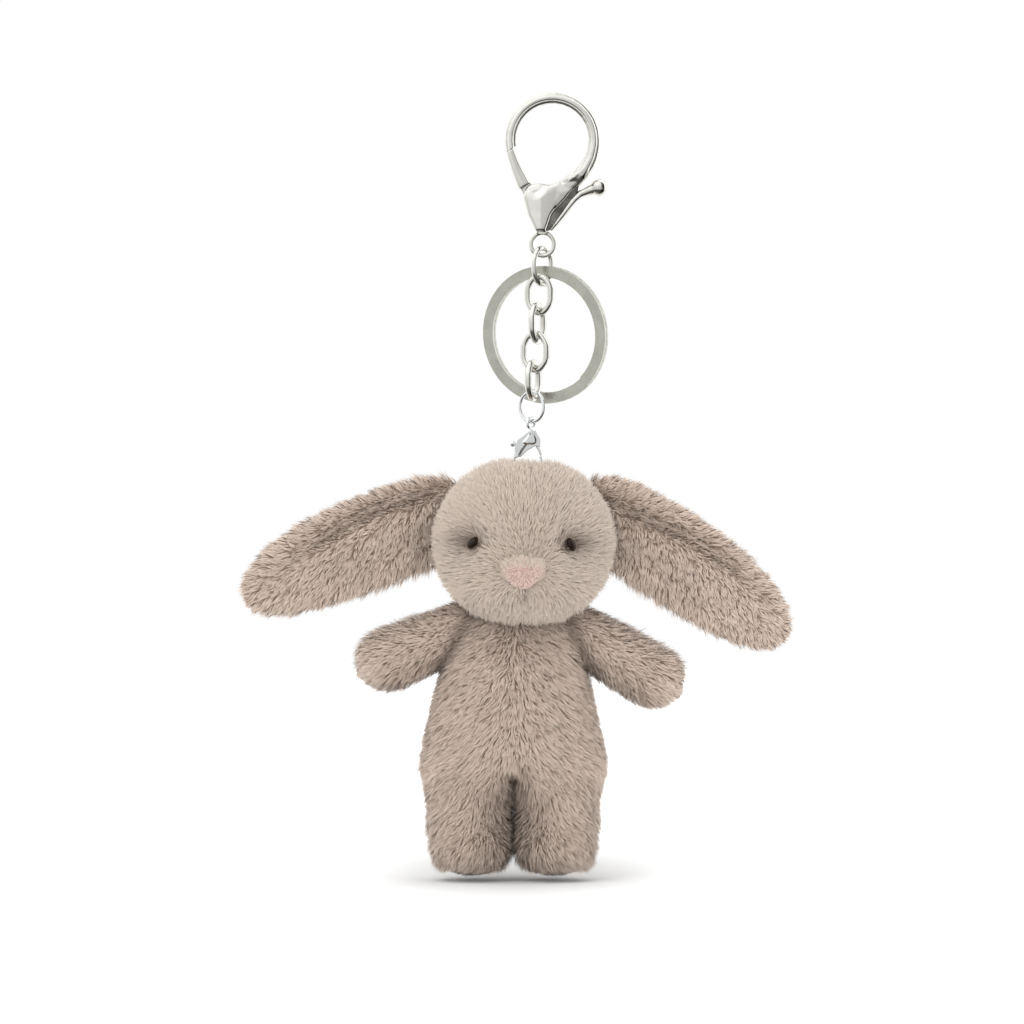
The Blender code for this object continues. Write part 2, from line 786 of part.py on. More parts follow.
def torso():
    rows = torso_rows()
    neck = (-7.6, 0.0, -111.5)
    inner = squeeze(rows, CLOTH, 0.0, CLOTH)
    bottom = rows[-1][0] - 0.45
    skin = open_shell(
        "torso_skin",
        upright_rings(rows, 22),
        upright_rings(inner, 22),
        (rows[-1][1], rows[-1][2], bottom),
        (rows[-1][1], rows[-1][2], bottom + CLOTH),
        plush("torso_skin"),
        neck,
    )
    fill = squeeze(rows, CLOTH + CLEAR, 0.3, CLOTH + CLEAR)
    split = [row for row in fill if row[0] > -137.0]
    verts, faces = loft(upright_rings(split, 20))
    add_mesh("torso_stuffing", verts, faces, filling("torso_stuffing"), neck)
    beads = material("bean_pouch_cloth", (0.8, 0.8, 0.78), 0.0, 0.9)
    low = [row for row in fill if row[0] < -137.0]
    lid = (split[-1][0] - 0.6, *low[0][1:3], low[0][3] - 1.2, low[0][4] - 1.0)
    verts, faces = loft(upright_rings([lid] + low, 20))
    add_mesh("bean_pouch", verts, faces, beads, neck)
    tail = plush("tail")
    ball((-8.4, 18.9, -140.5), (4.8, 4.2, 4.8), 14, 8, tail, "tail")
    return skin


def limb_rings(base, tip, base_radius, tip_radius, inset, segments, opening):
    """Rings of a tapering round-ended limb from near its round inner end to its far tip."""
    base, tip = Vector(base), Vector(tip)
    along = (tip - base).normalized()
    side = along.cross(Vector((0, 1, 0))).normalized()
    up = side.cross(along)
    stations = []
    start = 0.55 if opening else 0.35
    for turn in (start, 0.95, math.pi / 2):
        radius = base_radius - inset
        stations.append((base - along * radius * math.cos(turn), radius * math.sin(turn)))
    stations.append(((base + tip) / 2.0, (base_radius + tip_radius) / 2.0 + 0.2 - inset))
    for turn in (math.pi / 2, 1.0, 0.5):
        radius = tip_radius - inset
        stations.append((tip + along * radius * math.cos(turn), radius * math.sin(turn)))
    rings = []
    for centre, radius in stations:
        rings.append(
            [
                centre
                + side * radius * math.cos(2 * math.pi * j / segments)
                + up * radius * math.sin(2 * math.pi * j / segments)
                for j in range(segments)
            ]
        )
    pole = tip + along * (tip_radius - inset)
    heel = base - along * (base_radius - inset)
    return rings, pole, heel


def arm(side):
    base, tip = SHOULDERS[side], PAWS[side]
    outer, pole, _ = limb_rings(base, tip, 5.3, 5.7, 0.0, 14, True)
    inner, inner_pole, _ = limb_rings(base, tip, 5.3, 5.7, CLOTH, 14, True)
    name = f"arm_{side}_skin"
    open_shell(name, outer, inner, pole, inner_pole, plush(name), base)
    rings, pole, heel = limb_rings(base, tip, 5.3, 5.7, CLOTH + CLEAR, 12, False)
    verts, faces = loft(rings, False, heel, pole)
    name = f"arm_{side}_stuffing"
    add_mesh(name, verts, faces, filling(name), base)


def leg_rows(side, inset=0.0):
    """Level rows of a stubby leg: a round top about the hip, then the foot."""
    x, y, z = HIPS[side]
    rows = []
    radius = HIP_RADIUS - inset
    for turn in (0.45, 0.8, 1.15, 1.5):
        rows.append((z + radius * math.cos(turn), x, y, radius * math.sin(turn), radius * math.sin(turn)))
    rows.append((z - 4.0, x, y - 1.2, HIP_RADIUS - inset, 9.6 - inset))
    rows.append((z - 7.6, x, y - 1.6, HIP_RADIUS - 0.9 - inset, 9.4 - inset))
    rows.append((z - 9.8 + 0.5 * inset, x, y - 1.6, HIP_RADIUS - 3.6 - inset, 6.6 - inset))
    return rows


def leg(side):
    hip = HIPS[side]
    outer, inner = leg_rows(side), leg_rows(side, CLOTH)
    sole = (hip[0], outer[-1][2], hip[2] - 10.4)
    name = f"leg_{side}_skin"
    open_shell(
        name,
        upright_rings(outer, 16),
        upright_rings(inner, 16),
        sole,
        (sole[0], sole[1], sole[2] + CLOTH),
        plush(name),
        hip,
    )
    fill = leg_rows(side, CLOTH + CLEAR)
    fill[-1] = (sole[2] + CLOTH + CLEAR, *fill[-1][1:])
    verts, faces = loft(upright_rings(fill, 14))
    name = f"leg_{side}_stuffing"
    add_mesh(name, verts, faces, filling(name), hip)


def ear(side):
    """Two long cloth leaves sewn edge to edge; the inner leaf faces the front."""
    root, tip = Vector(EAR_ROOTS[side]), Vector(EAR_TIPS[side])
    along = (tip - root).normalized()
    across = Vector((0, 1, 0)).cross(along)
    length = (tip - root).length
    halves = [(-5.3, 1.6), (-4.0, 3.7), (0.0, 5.6), (9.0, 7.6), (20.0, 8.4), (30.0, 7.9), (36.5, 6.4)]
    halves = halves + [(length - 1.6, 3.6), (length, 1.0)]
    for leaf, low, high in (("front", -2.3, -0.15), ("back", 0.15, 2.3)):
        rings = []
        for distance, half in halves:
            thin_end = min(1.0, 0.45 + 0.11 * half)
            centre = root + along * distance
            flat, puff = (high, low) if leaf == "front" else (low, high)
            ring = []
            for share, lift in ((-1, 0), (-0.72, 0.75), (0, 1.0), (0.72, 0.75), (1, 0)):
                depth = flat + (puff - flat) * max(lift, 0.25) * thin_end
                ring.append(centre + across * half * share + Vector((0, depth, 0)))
            for share in (0.8, 0.0, -0.8):
                ring.append(centre + across * half * share + Vector((0, flat, 0)))
            rings.append(ring)
        verts, faces = loft(rings)
        name = f"ear_{side}_{leaf}"
        add_mesh(name, verts, faces, plush(name), tuple(root))


def build():
    clear_scene()
    large_clasp()
    chain()
    split_ring()
    small_clasp()
    hanging_loop()
    head()
    torso()
    for side in ("left", "right"):
        ear(side)
        arm(side)
        leg(side)


build()
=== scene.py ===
import json
import math

import bmesh
import bpy
import numpy as np
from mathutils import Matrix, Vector
from mathutils.kdtree import KDTree

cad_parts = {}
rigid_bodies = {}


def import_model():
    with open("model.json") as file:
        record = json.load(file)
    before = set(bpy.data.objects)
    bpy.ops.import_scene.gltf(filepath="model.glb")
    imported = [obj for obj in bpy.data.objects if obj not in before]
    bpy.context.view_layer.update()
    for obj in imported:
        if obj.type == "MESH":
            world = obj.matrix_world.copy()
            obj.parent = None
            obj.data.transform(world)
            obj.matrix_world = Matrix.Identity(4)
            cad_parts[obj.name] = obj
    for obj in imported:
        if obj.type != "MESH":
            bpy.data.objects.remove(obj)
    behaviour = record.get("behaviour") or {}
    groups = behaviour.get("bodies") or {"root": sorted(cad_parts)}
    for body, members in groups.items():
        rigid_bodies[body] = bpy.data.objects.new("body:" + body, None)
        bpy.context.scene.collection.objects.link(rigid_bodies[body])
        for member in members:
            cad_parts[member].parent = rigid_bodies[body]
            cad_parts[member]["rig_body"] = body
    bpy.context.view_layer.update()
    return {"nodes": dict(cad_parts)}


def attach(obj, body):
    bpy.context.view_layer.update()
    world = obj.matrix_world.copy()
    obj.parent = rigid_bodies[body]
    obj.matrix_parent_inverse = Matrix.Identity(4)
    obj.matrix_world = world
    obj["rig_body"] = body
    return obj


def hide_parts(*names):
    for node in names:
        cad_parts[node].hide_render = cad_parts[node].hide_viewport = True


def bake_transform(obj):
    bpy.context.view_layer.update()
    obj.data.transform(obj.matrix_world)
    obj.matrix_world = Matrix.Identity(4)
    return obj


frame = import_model()
cad = frame["nodes"]

MM = 0.001
STRANDS_PER_MM2 = 12.0
FIBRE_VERTS = 5  # two at the root, two halfway and one tip
ROOT_SINK = 0.25  # how far a fibre's root is set under the cloth, in mm
MIDDLE = -8.4  # the body's centre line in x, in mm
SOFT_LIGHT = 0.70  # how much of the room's brightness reaches the cloth and the floor
# the floor's own grey, seen only in the painted shadow under the feet, where the floor stops glowing
FLOOR_GREY = 0.56
FLOOR_LEVEL = -168.6  # just under the feet, in mm
FLOOR_REACH = 1600.0  # half the floor's side, in mm
# The floor's grey patch under the feet is a painted shadow: the floor glows white away from it.
SHADE_BACK = 35.0  # how far behind the body the floor's grey patch is centred, in mm
SHADE_REACH = (84.0, 270.0)  # how far the patch takes to fade to white, across and in depth, in mm
LAMP_AIM = (-10.0, 0.0, -90.0)  # the middle of the object, in mm
LAMPS = (  # name, place in mm, size in metres and watts
    ("key", (-500.0, -900.0, 600.0), (0.7, 0.7), 5.9),
    ("fill", (700.0, -800.0, 200.0), (0.6, 0.9), 4.4),
    ("top", (0.0, -40.0, 900.0), (1.6, 1.2), 5.5),
    ("back", (200.0, 900.0, 400.0), (0.8, 0.8), 2.5),
)
EYE_POINT = (-8.7, -1200.0, -88.7)  # where the camera stands, in mm
SENSOR = 36.0  # mm
VIEW_WIDTH = 222.6  # what the camera takes in at the object, in mm
WHITE = (1.0, 1.0, 1.0)


# ---------------------------------------------------------------- materials


def nodes_of(name):
    mat = bpy.data.materials.new(name)
    mat.use_nodes = True
    tree = mat.node_tree
    return mat, tree, tree.nodes["Principled BSDF"]


def feed(tree, node, values):
    """Links other nodes' outputs to a node's inputs, or sets their plain values."""
    for key, value in values.items():
        if isinstance(value, bpy.types.NodeSocket):
            tree.links.new(value, node.inputs[key])
        else:
            node.inputs[key].default_value = value


def add(tree, kind, output, values, **settings):
    """A named output of a new node, with its settings made and its inputs fed."""
    node = tree.nodes.new(f"ShaderNode{kind}")
    for key, value in settings.items():
        setattr(node, key, value)
    feed(tree, node, values)
    return node.outputs[output]


def place_in_mm(tree):
    """Where a point lies on its object, in mm."""
    coords = add(tree, "TexCoord", "Object", {})
    return add(tree, "Mapping", "Vector", {"Vector": coords, "Scale": (1.0 / MM,) * 3})


def noise(tree, vector, scale, detail=3.0, rough=0.6):
    values = {"Vector": vector, "Scale": scale, "Detail": detail, "Roughness": rough}
    return add(tree, "TexNoise", "Fac", values)


def attribute(tree, name):
    return add(tree, "Attribute", "Fac", {}, attribute_name=name)


def ramp(tree, fac, stops):
    """Colours along a factor, from (spot, colour) stops."""
    node = tree.nodes.new("ShaderNodeValToRGB")
    elements = node.color_ramp.elements
    for element, (spot, colour) in zip(elements, (stops[0], stops[-1])):
        element.position = spot
        element.color = (*colour, 1.0)
    for spot, colour in stops[1:-1]:
        elements.new(spot).color = (*colour, 1.0)
    tree.links.new(fac, node.inputs["Fac"])
    return node.outputs["Color"]


def rescale(tree, value, start, end, low=0.0, high=1.0):
    """A value brought from one range to another, and held within it."""
    ends = {"From Min": start, "From Max": end, "To Min": low, "To Max": high}
    return add(tree, "MapRange", "Result", {"Value": value, **ends})


def stretch(tree, fac, low, high):
    return rescale(tree, fac, 0.0, 1.0, low, high)


def mix(tree, kind, fac, a, b):
    return add(tree, "Mix", "Result", {"Factor": fac, "A": a, "B": b}, data_type="RGBA", blend_type=kind)


def bump(tree, height, strength, distance):
    return add(tree, "Bump", "Normal", {"Strength": strength, "Distance": distance, "Height": height})


def plated(name, dark, light, rough_low, rough_high, pits):
    """Nickel plate: slight colour drift, uneven polish and fine casting pits."""
    mat, tree, shader = nodes_of(name)
    where = place_in_mm(tree)
    surface = {
        "Metallic": 1.0,
        "Base Color": ramp(tree, noise(tree, where, 0.35), [(0.3, dark), (0.7, light)]),
        "Roughness": stretch(tree, noise(tree, where, 1.6, 5.0), rough_low, rough_high),
        "Normal": bump(tree, noise(tree, where, 2.2, 4.0), pits, 0.0002),
    }
    feed(tree, shader, surface)
    return mat


def fur_material(name, root, middle, tip, shade):
    """Fibre colour runs from a dark root to a light tip, partly the fibres' own tone and partly painted shade
    deep in the pile, with soft patches and a little difference fibre to fibre.
    """
    mat, tree, shader = nodes_of(name)
    colour = ramp(tree, attribute(tree, "along"), [(0.0, root), (0.5, middle), (1.0, tip)])
    patches = noise(tree, place_in_mm(tree), 0.22, 4.0)
    tints = (
        (patches, [(0.3, (shade,) * 3), (0.7, WHITE)]),
        (attribute(tree, "fibre"), [(0.0, (0.91, 0.90, 0.90)), (1.0, (1.05,) * 3)]),
        # painted shade: darkens fibres in creases, folds, hollows and around the eyes, from the fibres' shade
        # attribute
        (attribute(tree, "painted_shade"), [(0.0, (0.16, 0.13, 0.11)), (1.0, WHITE)]),
    )
    for fac, stops in tints:
        colour = mix(tree, "MULTIPLY", 1.0, colour, ramp(tree, fac, stops))
    feed(tree, shader, {"Base Color": colour, "Roughness": 0.85, "Specular IOR Level": 0.2})
    feed(tree, shader, {"Sheen Weight": 0.25, "Sheen Roughness": 0.5})
    return mat


# ---------------------------------------------------------------- mesh helpers


def placed(name, data):
    obj = bpy.data.objects.new(name, data)
    bpy.context.scene.collection.objects.link(obj)
    return obj


def make(name, verts, faces, mat=None):
    """An object from millimetre points in the frame."""
    mesh = bpy.data.meshes.new(name)
    mesh.from_pydata([Vector(v) * MM for v in verts], [], faces)
    mesh.update()
    shade_smooth(mesh)
    if mat:
        mesh.materials.append(mat)
    return placed(name, mesh)


def baked(obj):
    """The object's mesh with its modifiers made final."""
    bpy.context.view_layer.update()
    graph = bpy.context.evaluated_depsgraph_get()
    mesh = bpy.data.meshes.new_from_object(obj.evaluated_get(graph))
    obj.modifiers.clear()
    obj.data = mesh
    return obj


def remesh(obj, size):
    step = obj.modifiers.new("skin", "REMESH")
    step.mode = "VOXEL"
    step.voxel_size = size * MM
    step.use_smooth_shade = True
    return baked(obj)


def relax(obj, rounds):
    step = obj.modifiers.new("relax", "SMOOTH")
    step.iterations = rounds
    step.factor = 0.5
    return baked(obj)


def points_of(mesh, what="co"):
    flat = np.empty(len(mesh.vertices) * 3)
    mesh.vertices.foreach_get(what, flat)
    return flat.reshape(-1, 3)


def shade_smooth(mesh, smooth=True):
    mesh.polygons.foreach_set("use_smooth", np.full(len(mesh.polygons), smooth))


def set_points(mesh, points):
    mesh.vertices.foreach_set("co", np.ascontiguousarray(points, dtype=np.float32).ravel())
    mesh.update()


def triangles_of(mesh):
    mesh.calc_loop_triangles()
    flat = np.empty(len(mesh.loop_triangles) * 3, dtype=np.int64)
    mesh.loop_triangles.foreach_get("vertices", flat)
    return flat.reshape(-1, 3)


def mesh_from(name, verts, faces):
    """A smooth triangle mesh from arrays."""
    mesh = bpy.data.meshes.new(name)
    mesh.vertices.add(len(verts))
    mesh.vertices.foreach_set("co", verts.astype(np.float32).ravel())
    mesh.loops.add(len(faces) * 3)
    mesh.loops.foreach_set("vertex_index", faces.astype(np.int32).ravel())
    mesh.polygons.add(len(faces))
    mesh.polygons.foreach_set("loop_start", (3 * np.arange(len(faces))).astype(np.int32))
    mesh.update(calc_edges=True)
    shade_smooth(mesh)
    return mesh


def ellipsoid(name, centre, radii, shape=None, fine=4):
    """A ball with three radii, shaped further by a function of its points, all in mm."""
    mesh = bpy.data.meshes.new(name)
    work = bmesh.new()
    bmesh.ops.create_icosphere(work, subdivisions=fine, radius=1.0)
    work.to_mesh(mesh)
    work.free()
    points = points_of(mesh) * np.array(radii) + np.array(centre)
    if shape:
        points = shape(points)
    set_points(mesh, points * MM)
    return placed(name, mesh)


def join(name, objs):
    """One object of several, welded only by a later remesh."""
    work = bmesh.new()
    for obj in objs:
        start = len(work.verts)
        work.from_mesh(obj.data)
        work.verts.ensure_lookup_table()
        for vert in work.verts[start:]:
            vert.co = obj.matrix_world @ vert.co
    mesh = bpy.data.meshes.new(name)
    work.to_mesh(mesh)
    work.free()
    for obj in objs:
        bpy.data.objects.remove(obj, do_unlink=True)
    return placed(name, mesh)


CLOTH_SCALE = 10.0  # the cloth is simulated this many times larger, where its solver is at its best
CLOTH_FRAMES = 20


def stuff(obj, pull, cap):
    """Blows a skin up from inside by at most cap mm; pull gives each point's hold on its seam from 0 to 1."""
    start = points_of(obj.data)
    middle = start.mean(axis=0)
    set_points(obj.data, (start - middle) * CLOTH_SCALE)
    hold = obj.vertex_groups.new(name="seam")
    weights = pull(start / MM)
    for i in np.nonzero(weights > 0.01)[0]:
        hold.add([int(i)], float(weights[i]), "REPLACE")
    cloth = obj.modifiers.new("cloth", "CLOTH")
    cloth.settings.quality = 4
    cloth.settings.mass = 0.3
    cloth.settings.tension_stiffness = 12.0
    cloth.settings.compression_stiffness = 12.0
    cloth.settings.bending_stiffness = 0.6
    cloth.settings.use_pressure = True
    cloth.settings.uniform_pressure_force = 4.0
    cloth.settings.vertex_group_mass = "seam"
    cloth.settings.effector_weights.gravity = 0.0
    cloth.point_cache.frame_start = 1
    cloth.point_cache.frame_end = CLOTH_FRAMES
    scene = bpy.context.scene
    for frame_number in range(1, CLOTH_FRAMES + 1):
        scene.frame_set(frame_number)
    graph = bpy.context.evaluated_depsgraph_get()
    grown = bpy.data.meshes.new_from_object(obj.evaluated_get(graph))
    end = points_of(grown) / CLOTH_SCALE + middle
    bpy.data.meshes.remove(grown)
    obj.modifiers.clear()
    obj.vertex_groups.clear()
    scene.frame_set(1)
    move = end - start
    length = np.linalg.norm(move, axis=1, keepdims=True)
    move *= np.minimum(1.0, cap * MM / np.maximum(length, 1e-9))
    set_points(obj.data, start + move)


def cover(skin, filling, gap=0.4):
    """Lifts a skin off its stuffing wherever the two would cross."""
    step = skin.modifiers.new("cover", "SHRINKWRAP")
    step.target = filling
    step.wrap_mode = "OUTSIDE"
    step.offset = gap * MM
    return baked(skin)


# ---------------------------------------------------------------- fur


def unit(v):
    return v / np.maximum(np.linalg.norm(v, axis=-1, keepdims=True), 1e-9)


def scatter(mesh, per_mm2, seed):
    """Random points over a mesh in millimetres, with their normals."""
    corners = triangles_of(mesh)
    points = points_of(mesh) / MM
    normals = points_of(mesh, "normal")
    a, b, c = points[corners[:, 0]], points[corners[:, 1]], points[corners[:, 2]]
    area = np.linalg.norm(np.cross(b - a, c - a), axis=1) / 2.0
    rng = np.random.RandomState(seed)
    total = int(area.sum() * per_mm2)
    pick = rng.choice(len(corners), total, p=area / area.sum())
    u = rng.rand(total, 1)
    v = rng.rand(total, 1)
    fold = (u + v) > 1.0
    u = np.where(fold, 1.0 - u, u)
    v = np.where(fold, 1.0 - v, v)
    spots = a[pick] * (1.0 - u - v) + b[pick] * u + c[pick] * v
    na, nb, nc = (normals[corners[pick, k]] for k in range(3))
    return spots, unit(na * (1.0 - u - v) + nb * u + nc * v), rng


def gather(roots, tips, rng, share, strength):
    """Draws fibre tips together into small locks, each led by one of a share of the fibres."""
    chosen = rng.choice(len(roots), max(1, int(len(roots) * share)), replace=False)
    tree = KDTree(len(chosen))
    for i, k in enumerate(chosen):
        tree.insert(roots[k], i)
    tree.balance()
    owner = np.array([chosen[tree.find(p)[1]] for p in roots])
    pull = strength * (0.6 + 0.4 * rng.rand(len(roots), 1))
    return tips + (tips[owner] - tips) * pull


def plain(p):
    return np.ones(len(p))


def fur(
    name, skin, mat, flow, length, seed, painted_shade=plain, lift=0.5, width=0.195, density=1.0, lock=0.055, draw=0.42
):
    """Grows tapered fibres from a skin and joins them to it as one mesh.

    flow and length give each root's direction and length in mm; the painted-shade function gives its
    brightness, darker where shade falls in creases and hollows.
    lift is how steeply a fibre rises, lock the share of fibres that lead a lock, and draw how far the others
    lean to theirs.
    """
    mesh = skin.data
    roots, normals, rng = scatter(mesh, STRANDS_PER_MM2 * density, seed)
    keep = length(roots) > 0.2
    roots, normals = roots[keep], normals[keep]
    count = len(roots)
    lengths = length(roots)[:, None] * (0.72 + 0.5 * rng.rand(count, 1))
    along = flow(roots)
    along = unit(along - normals * np.sum(along * normals, axis=1, keepdims=True))
    jitter = rng.randn(count, 3)
    first = unit(normals * lift + along * (1.0 - lift) + jitter * 0.14)
    second = unit(first * 0.6 + along * 0.5 + normals * 0.12 + jitter * 0.1)
    middle = roots + first * lengths * 0.5
    tips = middle + second * lengths * 0.5
    tips = gather(roots, tips, rng, lock, draw)
    middle = roots + (middle - roots) * 0.55 + (tips - roots) * 0.225
    base = roots - normals * ROOT_SINK
    heading = unit(tips - base)
    outward = unit(normals - heading * np.sum(normals * heading, axis=1, keepdims=True))
    spin = unit(np.cross(outward, heading) + outward * rng.uniform(-0.5, 0.5, (count, 1)))
    wide = width * 0.5 * (0.8 + 0.4 * rng.rand(count, 1))
    low, high = spin * wide, spin * wide * 0.9
    strand = np.stack([base + low, base - low, middle - high, middle + high, tips], axis=1).reshape(-1, 3)
    old = points_of(mesh)
    skin_normals = points_of(mesh, "normal")
    skin_faces = triangles_of(mesh)
    first_vert = len(old) + FIBRE_VERTS * np.arange(count)
    blades = (first_vert[:, None] + np.array([0, 1, 2, 0, 2, 3, 3, 2, 4])).reshape(-1, 3)
    coat = mesh_from(name, np.concatenate([old, strand * MM]), np.concatenate([skin_faces, blades]))
    shading = unit(normals * 0.6 + outward * 0.4)
    all_normals = np.concatenate([skin_normals, np.repeat(shading, FIBRE_VERTS, axis=0)])
    coat.normals_split_custom_set_from_vertices(all_normals)
    heights = np.concatenate([np.zeros(len(old)), np.tile([0.0, 0.0, 0.55, 0.55, 1.0], count)])
    singles = np.concatenate([np.full(len(old), 0.3), np.repeat(rng.rand(count), FIBRE_VERTS)])
    # each fibre carries the painted shade of its root
    painted_shades = np.concatenate([painted_shade(old / MM), np.repeat(painted_shade(roots), FIBRE_VERTS)])
    for label, values in (("along", heights), ("fibre", singles), ("painted_shade", painted_shades)):
        layer = coat.attributes.new(label, "FLOAT", "POINT")
        layer.data.foreach_set("value", values.astype(np.float32))
    coat.materials.append(mat)
    bpy.data.objects.remove(skin, do_unlink=True)
    return placed(name, coat)


# ---------------------------------------------------------------- the rabbit

HEAD = np.array([-6.1, 0.0, -95.0])
HEAD_RADII = (18.6, 16.4, 16.6)
NOSE = np.array([-6.3, -17.4, -101.7])
EYES = {"left": (-16.8, -95.3), "right": (3.7, -95.7)}
EYE_SLANT = {"left": (0.67, 0.74), "right": (-0.45, 0.89)}
OUTWARD = {"left": -1.0, "right": 1.0}


def bell(distance2):
    return np.exp(-distance2)


def ease(value):
    value = np.clip(value, 0.0, 1.0)
    return value * value * (3.0 - 2.0 * value)


def eye_frame(p, side):
    """Distances from an eye: along its slanted slit, across it, and towards the ear."""
    ex, ez = EYES[side]
    sx, sz = EYE_SLANT[side]
    x, z = p[:, 0] - ex, p[:, 2] - ez
    return x * sx + z * sz, x * sz - z * sx, x * OUTWARD[side], z


def head_shape(p):
    """Cheeks, muzzle, eye sockets, chin furrow and the dimple for the small clasp."""
    x, y, z = p[:, 0] - HEAD[0], p[:, 1], p[:, 2] - HEAD[2]
    front = ease(-y / 8.0)
    out = p.copy()
    out[:, 1] -= 2.4 * bell(((x + 0.2) / 9.0) ** 2 + ((z + 8.0) / 6.0) ** 2) * front
    out[:, 1] -= 1.3 * bell((x / 6.0) ** 2 + ((z - 1.0) / 9.0) ** 2) * front
    for side in EYES:
        outside, high = eye_frame(p, side)[2:]
        socket = bell(((outside - 0.9) / 3.2) ** 2 + ((high - 0.2) / 2.2) ** 2)
        out[:, 1] += 2.0 * socket * front
        rim = bell(((outside + 2.6) / 1.8) ** 2 + ((high + 1.2) / 2.6) ** 2)
        out[:, 1] -= 0.8 * rim * front
    furrow = bell((x / 0.9) ** 2) * ease((-z - 9.0) / 3.0)
    out[:, 1] += 0.8 * furrow * front
    jowl = ease((-z - 1.0) / 13.0) * ease((5.0 - y) / 9.0)
    out[:, 1] -= 3.2 * jowl
    out[:, 2] -= 1.3 * jowl
    crown = bell(((p[:, 0] + 5.3) / 3.4) ** 2 + (y / 3.6) ** 2) * (z > 0)
    out[:, 2] -= 2.4 * crown
    return out


def head_skin():
    obj = ellipsoid("head_cloth", HEAD, HEAD_RADII, head_shape, 5)

    def seams(p):
        x = p[:, 0] - HEAD[0]
        hold = bell((x / 0.8) ** 2) * 0.9
        for side in EYES:
            outside, high = eye_frame(p, side)[2:]
            hold += bell(((outside - 0.8) / 3.0) ** 2 + (high / 2.4) ** 2)
        hold += bell(((p[:, 0] + 5.3) / 4.5) ** 2 + (p[:, 1] / 4.5) ** 2) * (p[:, 2] > HEAD[2])
        return np.clip(hold, 0.0, 1.0)

    stuff(obj, seams, 0.6)
    return obj


def head_flow(p):
    """Fibres fan out from the bridge of the nose, lie back from the eyes and fall under the chin."""
    flow = unit(p - np.array([HEAD[0], -14.0, -101.5]))
    flow[:, 1] += 0.3
    low = ease((-103.5 - p[:, 2]) / 6.0)[:, None]
    flow = flow * (1.0 - low) + np.array([0.0, 0.1, -1.0]) * low
    flow[:, 0] += 0.25 * np.tanh((p[:, 0] - HEAD[0]) / 3.0) * low[:, 0]
    for side in EYES:
        outside, high = eye_frame(p, side)[2:]
        away = np.stack([outside * OUTWARD[side], np.zeros(len(p)), high], axis=1)
        near = bell((outside / 3.4) ** 2 + (high / 3.2) ** 2) * (p[:, 1] < -4.0)
        flow += unit(away) * 2.2 * near[:, None]
    return flow


def head_length(p):
    x, z = p[:, 0] - HEAD[0], p[:, 2] - HEAD[2]
    size = 2.5 + 0.5 * ease((z - 6.0) / 10.0) + 0.8 * ease(p[:, 1] / 10.0)
    front = p[:, 1] < -6.0
    size = size * (1.0 - 0.4 * bell((x / 9.0) ** 2 + ((z + 5.0) / 9.0) ** 2) * front)
    for side in EYES:
        slit, across = eye_frame(p, side)[:2]
        bare = (slit / 1.6) ** 2 + (across / 0.95) ** 2 < 1.0
        size = np.where(front & bare, 0.0, size)
    nose = ((p[:, 0] - NOSE[0]) / 3.2) ** 2 + ((p[:, 2] - NOSE[2] + 0.4) / 1.9) ** 2
    return np.where(front & (nose < 1.0), 0.0, size)


def head_painted_shade(p):
    """Painted shade: darker fibres in the eye sockets, at their outer corners and in the furrow under the
    nose.
    """
    front = p[:, 1] < -4.0
    dark = np.zeros(len(p))
    for side in EYES:
        outside, high = eye_frame(p, side)[2:]
        dark += 0.38 * bell(((outside - 2.0) / 2.0) ** 2 + ((high - 0.3) / 1.6) ** 2)
        dark += 0.35 * bell((outside / 1.5) ** 2 + (high / 1.6) ** 2)
        dark += 0.14 * bell(((outside - 3.5) / 3.5) ** 2 + ((high + 1.4) / 3.0) ** 2)
    x, z = p[:, 0] - NOSE[0], p[:, 2] - NOSE[2]
    dark += 0.5 * bell(((x - 1.2 - 0.2 * z) / 0.55) ** 2 + ((z + 4.0) / 1.3) ** 2)
    return 1.0 - np.clip(dark, 0.0, 0.85) * front


def front_of(obj, x, z):
    """How far forward a skin comes at a place on its front."""
    points = points_of(obj.data) / MM
    near = (np.abs(points[:, 0] - x) < 1.2) & (np.abs(points[:, 2] - z) < 1.2)
    return points[near, 1].min()


def nose(mat, front):
    """A small plush triangle with round corners, wide at the top."""
    half_width, half_height = 5.2, 3.1
    spot = np.array([NOSE[0], front, NOSE[2]])

    def triangle(p):
        out = p.copy()
        high = (p[:, 2] - NOSE[2]) / half_height
        out[:, 0] = NOSE[0] + (p[:, 0] - NOSE[0]) * (0.78 + 0.26 * high)
        return out

    skin = ellipsoid("nose_cloth", spot, (half_width, 2.0, half_height), triangle)

    def flow(p):
        away = p - spot
        away[:, 1] = 0.0
        return away * 0.4 + np.array([0.0, 0.0, -0.4])

    def size(p):
        return np.full(len(p), 0.7)

    return fur("nose_coat", skin, mat, flow, size, 14, lift=0.45, width=0.13, density=3.5)


TORSO_ROWS = (
    (-108.5, -7.4, 8.6, 5.0), (-113.0, -7.8, 11.6, 7.6), (-118.0, -8.1, 13.8, 10.2),
    (-124.0, -8.3, 15.2, 12.2), (-131.0, -8.4, 16.8, 13.4), (-138.0, -8.4, 18.4, 14.0),
    (-144.0, -8.4, 19.4, 14.0), (-148.5, -8.4, 17.6, 12.6), (-151.5, -8.4, 13.0, 9.5),
)


def tube(name, rings):
    """A closed skin through rings of points."""
    count = len(rings[0])
    verts = [point for ring in rings for point in ring]
    faces = []
    for i in range(len(rings) - 1):
        for j in range(count):
            k = (j + 1) % count
            faces.append((i * count + j, i * count + k, (i + 1) * count + k, (i + 1) * count + j))
    faces.append(tuple(reversed(range(count))))
    faces.append(tuple(range((len(rings) - 1) * count, len(rings) * count)))
    return make(name, verts, faces)


def circle(count):
    return [(math.cos(2 * math.pi * j / count), math.sin(2 * math.pi * j / count)) for j in range(count)]


